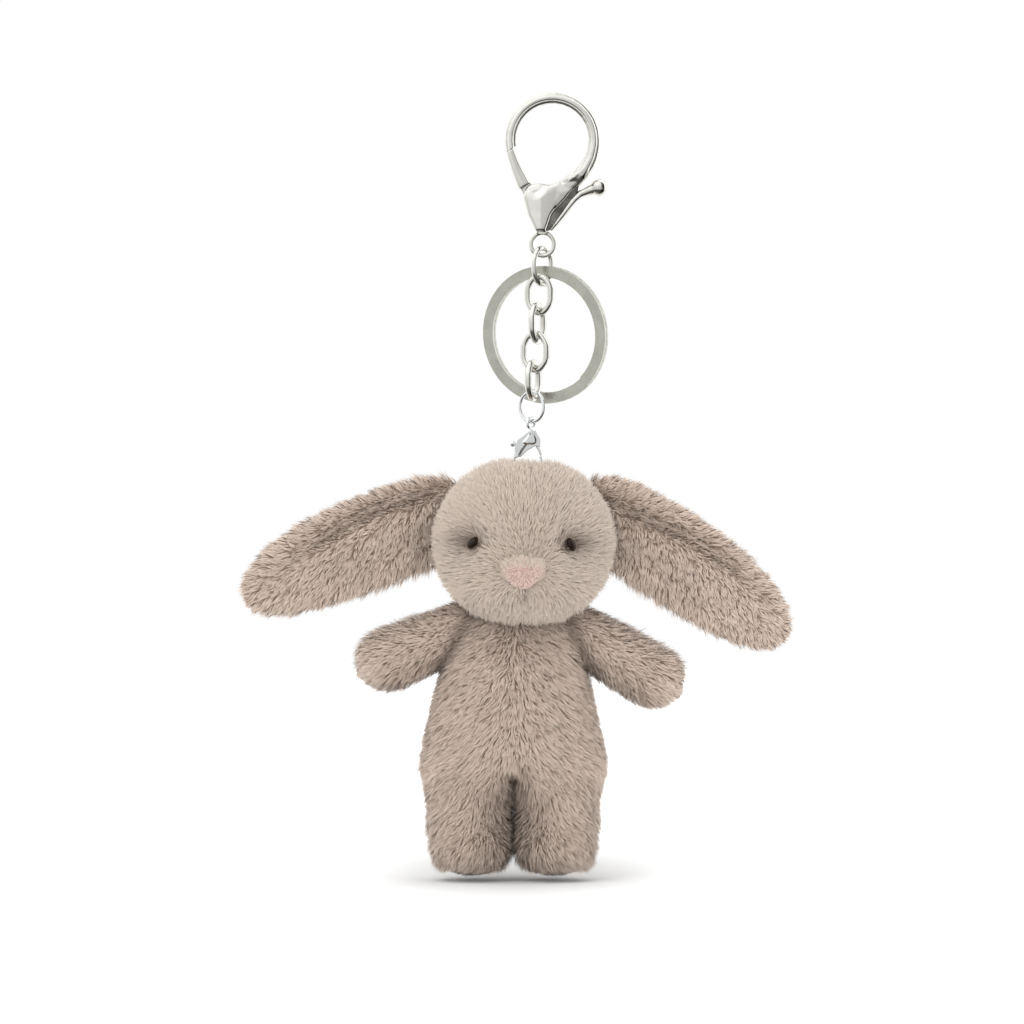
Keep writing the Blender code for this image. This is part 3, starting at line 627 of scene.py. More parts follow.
def torso_skin():
    """A pear-shaped body, with a notch in front and behind where the legs part."""
    table = np.array(TORSO_ROWS)
    stations = np.linspace(0.0, len(table) - 1.0, 40)
    cols = [np.interp(stations, np.arange(len(table)), table[:, k]) for k in range(4)]
    rings = []
    for z, x, rx, ry in zip(*cols):
        rings.append([(x + rx * c, -ry * s, z) for c, s in circle(48)])
    obj = remesh(tube("torso_cloth", rings), 1.3)
    relax(obj, 12)
    points = points_of(obj.data) / MM
    x, z = points[:, 0] - MIDDLE, points[:, 2]
    notch = bell((x / 2.4) ** 2) * ease((-141.5 - z) / 5.0)
    points[:, 1] *= 1.0 - 0.7 * notch
    set_points(obj.data, points * MM)

    def seams(p):
        return np.clip(bell(((p[:, 0] - MIDDLE) / 0.9) ** 2) * 0.9, 0.0, 1.0)

    stuff(obj, seams, 0.7)
    return obj


def torso_flow(p):
    x = (p[:, 0] - MIDDLE) / 12.0
    flow = np.zeros_like(p)
    flow[:, 0] = 0.6 * np.tanh(3.0 * x) + 0.5 * x * ease((-136.0 - p[:, 2]) / 8.0)
    flow[:, 2] = -1.0
    return flow


# Lines of painted shade where each arm meets the body; a row has a line's ends in x and z, spread and depth.
ARM_SHADE_LINES = (
    ((-15.5, -109.5), (-25.5, -124.0), 1.7, 0.55),
    ((1.8, -109.5), (9.2, -124.0), 1.7, 0.55),
)
# Lines and patches of painted shade on the fronts of the ears: their folds, and the left ear's root in the
# shadow of the cheek; a row has a line's ends in x and z, spread and depth.
EAR_SHADE_LINES = {
    "left": (
        ((-27.0, -84.5), (-29.6, -92.2), 0.7, 0.45),
        ((-28.2, -91.5), (-27.2, -99.0), 3.2, 0.62),
        ((-30.0, -94.0), (-45.0, -98.5), 5.0, 0.20),
    ),
    "right": (
        ((10.9, -86.0), (25.9, -102.6), 1.5, 0.40),
        ((13.4, -94.4), (21.7, -103.6), 0.6, 0.45),
        ((23.5, -99.5), (31.0, -107.0), 3.2, 0.15),
    ),
}


def painted_shade_lines(p, rows):
    """Painted shade on the fibres along lines in front, where shade falls in creases and folds; a row has a
    line's ends in x and z, spread and depth.
    """
    shade = np.zeros(len(p))
    for start, end, spread, depth in rows:
        along = np.array(end) - np.array(start)
        off = p[:, [0, 2]] - np.array(start)
        share = np.clip((off @ along) / (along @ along), 0.0, 1.0)
        gap = np.linalg.norm(off - share[:, None] * along, axis=1)
        shade = np.maximum(shade, depth * bell((gap / spread) ** 2))
    return shade * ease((2.0 - p[:, 1]) / 4.0)


def crease_painted_shade(p):
    """Painted shade: darker fibres where each arm meets the body."""
    return 1.0 - painted_shade_lines(p, ARM_SHADE_LINES)


# painted shade of the body's coat, in the slit between the legs and where the arms meet the body
def coat_painted_shade(p):
    return slit_painted_shade(p) * crease_painted_shade(p)


def slit_painted_shade(p):
    """Painted shade: darker fibres down in the slit between the legs."""
    x, z = p[:, 0] - MIDDLE, p[:, 2]
    depth = bell((x / 1.9) ** 2) * ease((-143.5 - z) / 4.0) * ease((z + 163.0) / 4.0)
    return 1.0 - 0.55 * depth


def torso_length(p):
    return 2.9 + 0.4 * ease((-136.0 - p[:, 2]) / 10.0)


ARMS = {  # where each arm's middle line starts and ends
    "left": ((-17.0, 0.5, -113.6), (-35.4, -1.5, -120.6)),
    "right": ((2.0, 0.5, -113.2), (21.6, -1.5, -124.2)),
}
LEGS = {"left": -18.0, "right": 1.0}  # the middle of each leg in x
EARS = {  # where each ear's middle line starts and ends
    "left": ((-17.4, 3.0, -86.6), (-66.0, 2.0, -107.2)),
    "right": ((6.4, 3.0, -85.6), (50.0, 2.0, -115.6)),
}


def limb(name, start, end, radius_a, radius_b):
    """A stuffed tube from one round end to the other."""
    a, b = Vector(start), Vector(end)
    along = (b - a).normalized()
    side = along.cross(Vector((0, 1, 0))).normalized()
    up = along.cross(side)
    length = (b - a).length
    rings = []
    steps = 26
    for i in range(steps + 1):
        s = -radius_a + i / steps * (length + radius_a + radius_b)
        if s < 0:
            r = math.sqrt(max(radius_a**2 - s * s, 0.0))
        elif s > length:
            r = math.sqrt(max(radius_b**2 - (s - length) ** 2, 0.0))
        else:
            r = radius_a + (radius_b - radius_a) * s / length
        r = max(r, 0.6)
        rings.append([tuple(a + along * s + side * r * c + up * r * d) for c, d in circle(28)])
    return tube(name, rings)


def tail_flow(p):
    """Straight back and a little down."""
    toward = np.array([0.0, 1.0, -0.4])
    return np.tile(toward / np.linalg.norm(toward), (len(p), 1))


def arm_length(p):
    """Shorter fur where the arm leaves the body."""
    return 2.9 - 0.9 * bell(((np.abs(p[:, 0] - MIDDLE) - 15.5) / 4.0) ** 2)


def arm(side, mat):
    start, end = ARMS[side]
    skin = remesh(limb(f"arm_{side}_cloth", start, end, 5.6, 6.0), 1.1)
    relax(skin, 4)
    centre = np.array(start)
    heading = unit(np.array(end) - centre)

    def offset(p):
        return p - centre - np.outer((p - centre) @ heading, heading)

    def seams(p):
        across = offset(p)
        return np.clip(bell((across[:, 2] / 0.8) ** 2) * (across[:, 1] > 0) * 0.8, 0.0, 1.0)

    stuff(skin, seams, 0.5)

    def flow(p):
        return heading + np.array([0.0, 0.0, -0.1]) + offset(p) * 0.06

    coat = fur(f"arm_{side}_coat", skin, mat, flow, arm_length, 31 + len(side), painted_shade=crease_painted_shade)
    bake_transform(coat)
    return coat


def leg(side, mat, filling):
    """A stubby column that grows out of the belly and ends in a wide round foot."""
    x = LEGS[side]
    inner = -OUTWARD[side]
    top = ellipsoid("top", (x + 0.2 * inner, 0.0, -148.5), (8.6, 12.0, 9.5))
    shin = ellipsoid("shin", (x + 0.25 * inner, -0.8, -155.5), (8.4, 11.0, 9.0))
    foot = ellipsoid("foot", (x + 0.6 * inner, -2.6, -160.2), (8.0, 10.8, 7.0))
    skin = remesh(join(f"leg_{side}_cloth", [top, shin, foot]), 1.1)
    relax(skin, 10)

    def seams(p):
        return np.clip(bell(((p[:, 0] - x) / 0.8) ** 2) * 0.8, 0.0, 1.0)

    stuff(skin, seams, 0.4)
    points = points_of(skin.data) / MM
    points[:, 2] = np.maximum(points[:, 2], -166.8 + 0.3 * (points[:, 2] + 166.8))
    wall = MIDDLE + OUTWARD[side] * (0.5 + 1.3 * bell(((points[:, 2] + 152.5) / 4.5) ** 2))
    if side == "left":
        points[:, 0] = np.minimum(points[:, 0], wall)
    else:
        points[:, 0] = np.maximum(points[:, 0], wall)
    set_points(skin.data, points * MM)
    cover(skin, filling)

    def flow(p):
        away = np.zeros_like(p)
        away[:, 0] = 0.55 * np.tanh((p[:, 0] - MIDDLE) / 6.0)
        away[:, 1] = 0.02 * p[:, 1]
        away[:, 2] = -0.8
        return away

    def size(p):
        return 3.1 - 1.9 * ease((-163.5 - p[:, 2]) / 3.0)

    coat = fur(f"leg_{side}_coat", skin, mat, flow, size, 51 + len(side), painted_shade=slit_painted_shade)
    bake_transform(coat)
    return coat


EAR_HALF_WIDTH = ((0.0, 4.6), (0.07, 6.6), (0.16, 8.0), (0.30, 8.6), (0.49, 8.9), (0.67, 8.5), (0.83, 7.0),
                  (0.935, 4.8), (0.985, 2.4), (1.0, 0.6))
EAR_CREASE = {"left": ((0.0, 4.2), (0.07, 4.6), (0.37, 5.8), (0.58, 4.8), (0.81, 2.5), (1.0, 0.0)),
              "right": ((0.0, 1.0), (0.07, 1.4), (0.42, 5.0), (0.70, 5.6), (0.86, 3.5), (1.0, 0.0))}


def track(table, t):
    spots, values = zip(*table)
    return np.interp(t, spots, values)


def ear(side, mat):
    """A long leaf: a border rolled up over a crease along the front, and a fold tucked in at the root."""
    start, end = (np.array(v) for v in EARS[side])
    along = unit(end - start)
    across = np.cross(np.array([0.0, 1.0, 0.0]), along)
    across = across if across[2] > 0 else -across
    length = np.linalg.norm(end - start)

    def place(p):
        """Share of the ear's length, distance across it and half its width there."""
        t = (p - start) @ along / length
        return t, (p - start) @ across, track(EAR_HALF_WIDTH, t)

    def crease(t, u):
        return u - track(EAR_CREASE[side], t)

    def relief(t, u, half):
        """How far the front is pressed back, in mm."""
        groove = 2.2 * bell((crease(t, u) / 1.1) ** 2) * (1.0 - ease((t - 0.55) / 0.35))
        tuck = 1.9 * bell(((u + 1.6 + 7.0 * t) / 2.3) ** 2) * (1.0 - ease((t - 0.12) / 0.28))
        hollow = 0.9 * bell((u / (half * 0.7)) ** 2)
        return groove + tuck + hollow

    rings = []
    for t in np.linspace(0.0, 1.0, 64):
        half = float(track(EAR_HALF_WIDTH, t))
        centre = start + along * length * t
        bow = 0.9 * math.sin(math.pi * t)
        plump = 2.7 * (0.4 + 0.6 * min(1.0, half / 8.0))
        ring = []
        for c, s in circle(56):
            u = c * half
            depth = plump * s
            if s < 0:
                depth += relief(t, u, half) * min(1.0, -s * 1.6) * min(1.0, half / 6.0)
            depth -= 0.016 * u * u
            ring.append(tuple(centre + across * (u + bow) + np.array([0.0, depth, 0.0])))
        rings.append(ring)
    if across @ np.array([1.0, 0.0, 0.0]) * along[2] > across[2] * along[0]:
        rings = [ring[::-1] for ring in rings]
    skin = remesh(tube(f"ear_{side}_cloth", rings), 0.8)
    relax(skin, 3)

    def seams(p):
        t, u, half = place(p)
        rim = bell(((np.abs(u) - half) / 0.9) ** 2)
        return np.clip(rim + bell((crease(t, u) / 1.4) ** 2), 0.0, 1.0)

    stuff(skin, seams, 0.5)

    def flow(p):
        t, u, _ = place(p)
        lean = np.tanh(crease(t, u) / 1.5) * (0.85 - 0.45 * ease(t))
        return along * (0.4 + 0.5 * t)[:, None] + across * lean[:, None]

    def size(p):
        t, u, half = place(p)
        lower = ease((-u / half - 0.55) / 0.4) * (1.0 - ease((t - 0.45) / 0.3))
        rim = ease((np.abs(u) / half - 0.5) / 0.5)
        front = p[:, 1] < 2.0
        shut = bell((crease(t, u) / 0.9) ** 2) * front * (1.0 - ease((t - 0.5) / 0.3))
        return (2.5 + 0.6 * rim + 1.6 * lower) * (1.0 - 0.35 * shut)

    # painted shade: darker fibres along the crease, in the fold tucked in at the root and along the ear's
    # shade lines
    def painted_shade(p):
        t, u, _ = place(p)
        front = p[:, 1] < 2.5
        line = 0.30 * bell((crease(t, u) / 0.8) ** 2) * (1.0 - ease((t - 0.6) / 0.3))
        tuck = 0.30 * bell(((u + 1.6 + 7.0 * t) / 2.6) ** 2) * (1.0 - ease((t - 0.1) / 0.3))
        return 1.0 - np.clip(line + tuck + painted_shade_lines(p, EAR_SHADE_LINES[side]), 0.0, 0.7) * front

    coat = fur(f"ear_{side}_coat", skin, mat, flow, size, 71 + len(side), painted_shade=painted_shade, lock=0.06, draw=0.6)
    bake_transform(coat)
    return coat


def nose_veil(mat, front):
    """Thin fur of the face that comes down over the top of the nose."""
    spot = np.array([NOSE[0], front + 0.25, NOSE[2] + 0.1])
    skin = ellipsoid("veil_cloth", spot, (4.9, 1.8, 2.7))

    def size(p):
        high = (p[:, 2] - NOSE[2]) / 2.7
        chance = np.modf(np.abs(np.sin(p @ np.array([12.9898, 78.233, 37.719])) * 43758.5453))[0]
        return np.where(chance < ease((high - 0.02) / 0.4), 1.7, 0.0)

    def flow(p):
        away = p - spot
        away[:, 1] = 0.0
        return away * 0.15 + np.array([0.0, 0.0, 1.0])

    return fur("nose_veil", skin, mat, flow, size, 15, width=0.2, density=2.6)


def rabbit(cad):
    coat = fur_material("plush", (0.38, 0.285, 0.22), (0.54, 0.43, 0.355), (0.71, 0.60, 0.515), 0.90)
    # a greyer copy of the plush, darkened as painted shade against the stronger light that falls on the head
    face = fur_material("plush_face", (0.40, 0.315, 0.26), (0.50, 0.42, 0.355), (0.60, 0.52, 0.45), 0.93)
    pink = fur_material("pink_plush", (0.46, 0.31, 0.265), (0.60, 0.44, 0.385), (0.70, 0.55, 0.495), 0.94)
    skull = head_skin()
    front = front_of(skull, NOSE[0], NOSE[2])
    fine = {"width": 0.18, "density": 1.15, "draw": 0.32}
    head = fur("head_coat", skull, face, head_flow, head_length, 11, painted_shade=head_painted_shade, **fine)
    body = fur("torso_coat", torso_skin(), coat, torso_flow, torso_length, 12, painted_shade=coat_painted_shade)
    tail_skin = ellipsoid("tail_cloth", (-8.4, 16.6, -140.5), (5.0, 4.2, 5.0), fine=3)
    tail = fur("tail_coat", tail_skin, coat, tail_flow, lambda p: np.full(len(p), 3.2), 13)
    rigid = (
        (head, "head", ("head_skin",), 0.9),
        (nose(pink, front), "head", ("nose",), 0.9),
        (body, "torso", ("torso_skin",), 0.8),
        (tail, "torso", ("tail",), 0.8),
    )
    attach(nose_veil(face, front), "head")
    for obj, body_name, stands, fill in rigid:
        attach(obj, body_name)
        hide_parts(*stands)
    for side in ("left", "right"):
        limb_pieces = (
            (arm(side, coat), (f"arm_{side}_skin",), 0.7),
            (leg(side, coat, cad[f"leg_{side}_stuffing"]), (f"leg_{side}_skin",), 0.8),
            (ear(side, coat), (f"ear_{side}_front", f"ear_{side}_back"), 0.35),
        )
        for obj, stands, fill in limb_pieces:
            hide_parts(*stands)


# ---------------------------------------------------------------- studio


def studio():
    """A pale floor that glows white except in a painted shadow, a soft grey patch under the feet, and four
    soft lamps.
    """
    paper, tree, shader = nodes_of("paper")
    centre = (-MIDDLE, -SHADE_BACK, -FLOOR_LEVEL)
    centred = add(tree, "VectorMath", "Vector", {0: place_in_mm(tree), 1: centre})
    scale = (1.0 / SHADE_REACH[0], 1.0 / SHADE_REACH[1], 1.0)
    squeezed = add(tree, "VectorMath", "Vector", {0: centred, 1: scale}, operation="MULTIPLY")
    distance = add(tree, "VectorMath", "Value", {0: squeezed}, operation="LENGTH")
    # painted light: the floor glows white away from the feet, so its grey shows only as the painted shadow
    # under them
    glow = add(tree, "MapRange", "Result", {"Value": distance}, interpolation_type="SMOOTHSTEP")
    grey = (FLOOR_GREY, FLOOR_GREY, FLOOR_GREY, 1.0)
    feed(tree, shader, {"Base Color": grey, "Roughness": 0.9, "Specular IOR Level": 0.1})
    feed(tree, shader, {"Emission Color": (*WHITE, 1.0), "Emission Strength": glow})
    signs = ((-1, -1), (1, -1), (1, 1), (-1, 1))
    corners = [(x * FLOOR_REACH, y * FLOOR_REACH, FLOOR_LEVEL) for x, y in signs]
    ground = make("floor", corners, [(0, 1, 2, 3)], paper)
    ground.visible_glossy = False
    for name, spot, size, power in LAMPS:
        data = bpy.data.lights.new(name, "AREA")
        data.shape = "RECTANGLE"
        data.size, data.size_y = size
        data.energy = power
        lamp = placed(name, data)
        lamp.location = Vector(spot) * MM
        lamp.rotation_euler = (Vector(LAMP_AIM) - Vector(spot)).to_track_quat("-Z", "Y").to_euler()
        lamp.visible_glossy = False
    bpy.context.scene.view_settings.view_transform = "Standard"


WALLS = (  # brightness of the mirrored room all round, by degrees to the right of the front
    (-180.0, 1.10), (-100.0, 1.25), (-84.0, 0.88), (-40.0, 0.84), (-28.0, 1.02), (-14.0, 0.90), (4.0, 0.76),
    (34.0, 0.62), (47.0, 0.40), (55.0, 0.03), (74.0, 0.03), (84.0, 1.30), (130.0, 1.30), (180.0, 0.95),
)
HEIGHTS = (  # its tint from the floor to overhead
    (0.0, (0.10, 0.10, 0.10)), (0.22, (0.16, 0.16, 0.15)), (0.36, (0.86, 0.86, 0.84)),
    (0.55, WHITE), (0.78, (1.45, 1.45, 1.45)), (1.0, (1.5, 1.5, 1.5)),
)


def room():
    """White walls to the eye; metal mirrors a bright studio with one dark flag to the right of the front."""
    world = bpy.data.worlds.new("studio")
    world.use_nodes = True
    tree = world.node_tree
    view = add(tree, "TexCoord", "Generated", {})
    split = tree.nodes.new("ShaderNodeSeparateXYZ")
    tree.links.new(view, split.inputs["Vector"])
    x, y, z = (split.outputs[axis] for axis in "XYZ")
    front = add(tree, "Math", "Value", {0: y, 1: -1.0}, operation="MULTIPLY")
    turn = add(tree, "Math", "Value", {0: x, 1: front}, operation="ARCTAN2")
    wobble = stretch(tree, noise(tree, view, 1.7, 1.0), -0.22, 0.22)
    shifted = add(tree, "Math", "Value", {0: turn, 1: wobble}, operation="ADD")
    share = rescale(tree, shifted, -math.pi, math.pi)
    around = ramp(tree, share, [((angle + 180.0) / 360.0, (v, v, v * 0.985)) for angle, v in WALLS])
    shade = ramp(tree, rescale(tree, z, -1.0, 1.0), HEIGHTS)
    lifted = mix(tree, "MIX", rescale(tree, y, 0.0, 0.5), shade, (*WHITE, 1.0))
    mirrored = mix(tree, "MULTIPLY", 1.0, around, lifted)
    path = tree.nodes.new("ShaderNodeLightPath").outputs
    seen = mix(tree, "MIX", path["Is Camera Ray"], mirrored, (*WHITE, 1.0))
    rays = {0: path["Is Camera Ray"], 1: path["Is Glossy Ray"]}
    sharp = add(tree, "Math", "Value", rays, operation="MAXIMUM")
    strength = stretch(tree, sharp, SOFT_LIGHT, 1.0)
    feed(tree, tree.nodes["Background"], {"Color": seen, "Strength": strength})
    bpy.context.scene.world = world


def camera():
    """A long lens, level with the middle of the object."""
    data = bpy.data.cameras.new("camera")
    data.sensor_width = SENSOR
    data.lens = SENSOR * -EYE_POINT[1] / VIEW_WIDTH
    data.clip_end = 10.0
    eye = placed("camera", data)
    eye.location = Vector(EYE_POINT) * MM
    eye.rotation_euler = (math.pi / 2, 0.0, 0.0)
    bpy.context.scene.camera = eye


# ---------------------------------------------------------------- metal


def welded(cad, name, label):
    """A copy of a CAD node's mesh with its corners joined up."""
    obj = placed(label, cad[name].data.copy())
    work = bmesh.new()
    work.from_mesh(obj.data)
    bmesh.ops.remove_doubles(work, verts=work.verts, dist=0.001 * MM)
    work.to_mesh(obj.data)
    work.free()
    return obj


def rounded(cad, name, voxel, rounds, mat, extras=(), shape=None, core=None):
    """A cast piece with its edges softened, in place of its CAD node."""
    inner = welded(cad, name, "cast")
    if core:
        set_points(inner.data, core(points_of(inner.data) / MM) * MM)
    obj = join(f"{name}_cast", [inner, *extras])
    remesh(obj, voxel)
    relax(obj, rounds)
    if shape:
        set_points(obj.data, shape(points_of(obj.data) / MM) * MM)
    finish_piece(cad, obj, name, mat)


def rib(name, rows, count=16):
    """A round bar through (x, z, radius, depth) stations in the plane of the clasp."""
    rings = []
    for i, (x, z, radius, depth) in enumerate(rows):
        before, after = rows[max(i - 1, 0)], rows[min(i + 1, len(rows) - 1)]
        heading = Vector((after[0] - before[0], 0.0, after[1] - before[1])).normalized()
        across = heading.cross(Vector((0.0, 1.0, 0.0)))
        centre = Vector((x, 0.0, z))
        rings.append(
            [tuple(centre + across * radius * c + Vector((0.0, depth * d, 0.0))) for c, d in circle(count)]
        )
    return tube(name, rings)


def slab(name, outline, near, far):
    """A flat plate with an outline in the plane of the clasp, from y near to y far."""
    rings = [[(x, y, z) for x, z in outline] for y in (near, far)]
    return tube(name, rings)


LEVER = (
    (-0.3, -27.5, 0.42, 0.8), (0.8, -26.1, 0.62, 1.2), (2.2, -24.3, 0.72, 1.35), (3.6, -22.4, 0.78, 1.4),
    (4.9, -20.8, 0.82, 1.35), (6.2, -19.6, 0.88, 1.15), (7.8, -18.9, 1.0, 1.05), (9.4, -18.35, 1.35, 1.35),
)
# outline of the dark plate of painted shade that fills the gap between the heart and the lever, where the
# clasp's side wall lies in shade
RECESS = (
    (-1.2, -27.7), (-1.6, -26.1), (-0.9, -24.1), (0.9, -21.5), (3.6, -18.9), (5.9, -17.3), (5.6, -19.0),
    (3.2, -22.0), (1.5, -24.8), (0.1, -27.2),
)
HEART = (
    (-4.3, -17.7), (-5.6, -18.4), (-6.35, -20.2), (-5.4, -24.0), (-3.6, -27.8), (-1.4, -27.8),
    (-0.8, -26.3), (-0.1, -24.2), (1.8, -21.2), (4.4, -18.6), (7.0, -15.5), (6.6, -13.9), (5.1, -15.6),
    (2.3, -17.3), (-0.6, -17.7),
)
HEART_RIDGE = -2.4
HEART_TOP = 2.3  # how far out the ridge comes
HEART_EDGE = 0.75  # the radius that its outline is rounded with
HEART_BROW = (
    (-6.5, -20.4), (-3.9, -21.1), (-2.4, -20.5), (-1.0, -19.6), (2.3, -18.8), (4.4, -17.4), (7.0, -14.8),
)
HOOK_CENTRE, HOOK_RADIUS = (0.06, -7.8), 9.1
HOOK_ARM = (
    (9.1, -8.9, 1.35, 1.55), (8.5, -11.6, 1.45, 1.65), (7.1, -14.2, 1.6, 1.8), (5.0, -16.4, 1.75, 1.95),
    (2.2, -18.5, 1.9, 2.0),
)
SMALL_CHEEK = (
    (-5.0, -71.0), (-3.6, -71.0), (-2.5, -73.0), (-2.6, -74.5), (-3.7, -74.4), (-5.3, -75.3), (-6.8, -76.7),
    (-7.9, -76.9), (-8.2, -74.9), (-7.6, -73.0),
)
# outline of the thin dark sheets of painted shade in the small clasp's slit
SMALL_SLIT = (
    (-4.6, -72.6), (-5.7, -73.7), (-6.8, -75.1), (-7.4, -76.4), (-7.0, -76.5), (-6.2, -75.2), (-5.3, -74.0),
    (-4.4, -73.0),
)


def inside(points, outline):
    """Which (x, z) points lie within an outline, and how far each is from its edge."""
    corners = np.array(outline)
    within = np.zeros(len(points), dtype=bool)
    gap = np.full(len(points), 1e9)
    for a, b in zip(corners, np.roll(corners, -1, axis=0)):
        level = (a[1] > points[:, 1]) != (b[1] > points[:, 1])
        rise = b[1] - a[1] if b[1] != a[1] else 1e-9
        within ^= level & (points[:, 0] < (b[0] - a[0]) * (points[:, 1] - a[1]) / rise + a[0])
        share = np.clip(((points - a) @ (b - a)) / ((b - a) @ (b - a)), 0.0, 1.0)
        gap = np.minimum(gap, np.linalg.norm(points - a - share[:, None] * (b - a), axis=1))
    return within, gap


def heart_height(x, z, gap):
    """How far the heart-shaped front of the clasp stands out: a brow over two facets that meet in a ridge."""
    brow = track(HEART_BROW, x)
    off = x - HEART_RIDGE
    facets = HEART_TOP - np.where(off < 0.0, -0.24 * off, 0.23 * off) - 0.03 * np.maximum(brow - z, 0.0)
    roof = HEART_TOP - 0.42 * np.maximum(z - brow, 0.0) - 0.03 * np.abs(off)
    soft = 0.18
    height = -soft * np.log(np.exp(-facets / soft) + np.exp(-roof / soft)) + 0.1
    height = np.maximum(height - 0.75 * ease((x - 1.5) / 5.5), 1.25)
    edge = HEART_EDGE - np.minimum(gap, HEART_EDGE)
    return height - HEART_EDGE + np.sqrt(HEART_EDGE**2 - edge**2 + 1e-9)


def heart_cheeks(step=0.15, inner=0.95):
    """The two raised sides of the clasp's body, either side of the slot the gate swings in."""
    xs = np.arange(-7.0, 7.6, step)
    zs = np.arange(-28.4, -13.4, step)
    gx, gz = np.meshgrid(xs, zs, indexing="ij")
    within, gap = inside(np.column_stack([gx.ravel(), gz.ravel()]), HEART)
    height = heart_height(gx.ravel(), gz.ravel(), gap)
    within = within.reshape(gx.shape)
    count = gx.size
    columns = len(zs)
    cells = within[:-1, :-1] & within[1:, :-1] & within[:-1, 1:] & within[1:, 1:]
    sheets = []
    for side in (-1.0, 1.0):
        outer = np.column_stack([gx.ravel(), side * height, gz.ravel()])
        back = np.column_stack([gx.ravel(), np.full(count, side * inner), gz.ravel()])
        edges, faces = {}, []
        for i, j in zip(*np.nonzero(cells)):
            a, b = int(i) * columns + int(j), (int(i) + 1) * columns + int(j)
            loop = (a, b, b + 1, a + 1) if side < 0.0 else (a, a + 1, b + 1, b)
            faces.append(loop)
            faces.append(tuple(count + v for v in reversed(loop)))
            for start, end in zip(loop, loop[1:] + loop[:1]):
                edges[(start, end)] = True
        for start, end in edges:
            if (end, start) not in edges:
                faces.append((end, start, count + start, count + end))
        sheets.append(make("cheek", np.vstack([outer, back]), faces))
    return sheets


def round_hook(p):
    """Turns the hook's squared section into the round one of a cast wire, all along its length."""
    cx, cz = HOOK_CENTRE
    line = []
    for turn in range(212, -1, -4):
        angle = math.radians(turn)
        line.append((cx + HOOK_RADIUS * math.cos(angle), cz + HOOK_RADIUS * math.sin(angle), 1.28, 1.5))
    line = np.array(line + list(HOOK_ARM))
    out = p.copy()
    best = np.full(len(p), 1e9)
    for a, b in zip(line, line[1:]):
        along = b[:2] - a[:2]
        share = np.clip(((p[:, [0, 2]] - a[:2]) @ along) / (along @ along), 0.0, 1.0)[:, None]
        middle = a + share * (b - a)
        off = p[:, [0, 2]] - middle[:, :2]
        gap = np.linalg.norm(off, axis=1)
        wide, deep = gap / middle[:, 2], np.abs(p[:, 1]) / middle[:, 3]
        factor = np.maximum(wide, deep) / np.maximum(np.hypot(wide, deep), 1e-6)
        factor = 1.0 + (factor - 1.0) * (wide < 1.25)
        near = gap < best
        out[near, 0] = (middle[:, 0] + off[:, 0] * factor)[near]
        out[near, 2] = (middle[:, 1] + off[:, 1] * factor)[near]
        out[near, 1] = (p[:, 1] * factor)[near]
        best = np.minimum(best, gap)
    body = ease((p[:, 2] + 17.0) / 4.0)[:, None]
    return p + (out - p) * body


def slim(p):
    """Lets the plain sides of the body sink below its raised cheeks."""
    out = p.copy()
    out[:, 1] *= np.where(p[:, 2] < -16.5, 0.7, 1.0)
    return out


def shut(p):
    """Carries the gate's tip up to the hook's nose, so that only a seam is left."""
    near = ease((p[:, 2] + 12.5) / 2.0) * (p[:, 0] < -4.0)
    return p + near[:, None] * np.array([-0.12, 0.0, 0.30])


LINK_REACH = (2.825, 3.975)  # half the width and height of the line down the middle of a link's wire, in mm
SWELL = 0.09  # how far a link's wire is swelled, in mm


def oval(p):
    """Draws a chain link's straight sides in towards an ellipse."""
    middle = (p.max(axis=0) + p.min(axis=0)) / 2.0
    flat = p[:, :2] - middle[:2]
    wide = np.linalg.eigh(flat.T @ flat)[1][:, 1]
    high = p[:, 2] - middle[2]
    spread = flat @ wide
    reach, half = LINK_REACH
    straight = half - reach
    stadium = np.sqrt(np.maximum(reach**2 - np.maximum(np.abs(high) - straight, 0.0) ** 2, 0.3))
    ellipse = reach * np.sqrt(np.maximum(1.0 - (high / half) ** 2, 0.05))
    sides = np.abs(high) < half * 0.96
    change = np.where(sides, spread * (np.minimum(ellipse / stadium, 1.0) - 1.0), 0.0)
    out = p.copy()
    out[:, :2] += change[:, None] * wide
    return out


def finish_piece(cad, obj, name, mat):
    """Gives a metal piece its look and puts it in its CAD node's place."""
    obj.data.materials.clear()
    obj.data.materials.append(mat)
    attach(obj, cad[name]["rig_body"])
    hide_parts(name)


def smoothed(cad, name, angle, mat, shape=None, swell=0.0):
    """The CAD piece with shading that runs smoothly over its small facets."""
    obj = welded(cad, name, f"{name}_smooth")
    points = points_of(obj.data) / MM
    if shape:
        points = shape(points)
    points += points_of(obj.data, "normal") * swell
    set_points(obj.data, points * MM)
    shade_smooth(obj.data)
    obj.data.set_sharp_from_angle(angle=math.radians(angle))
    finish_piece(cad, obj, name, mat)


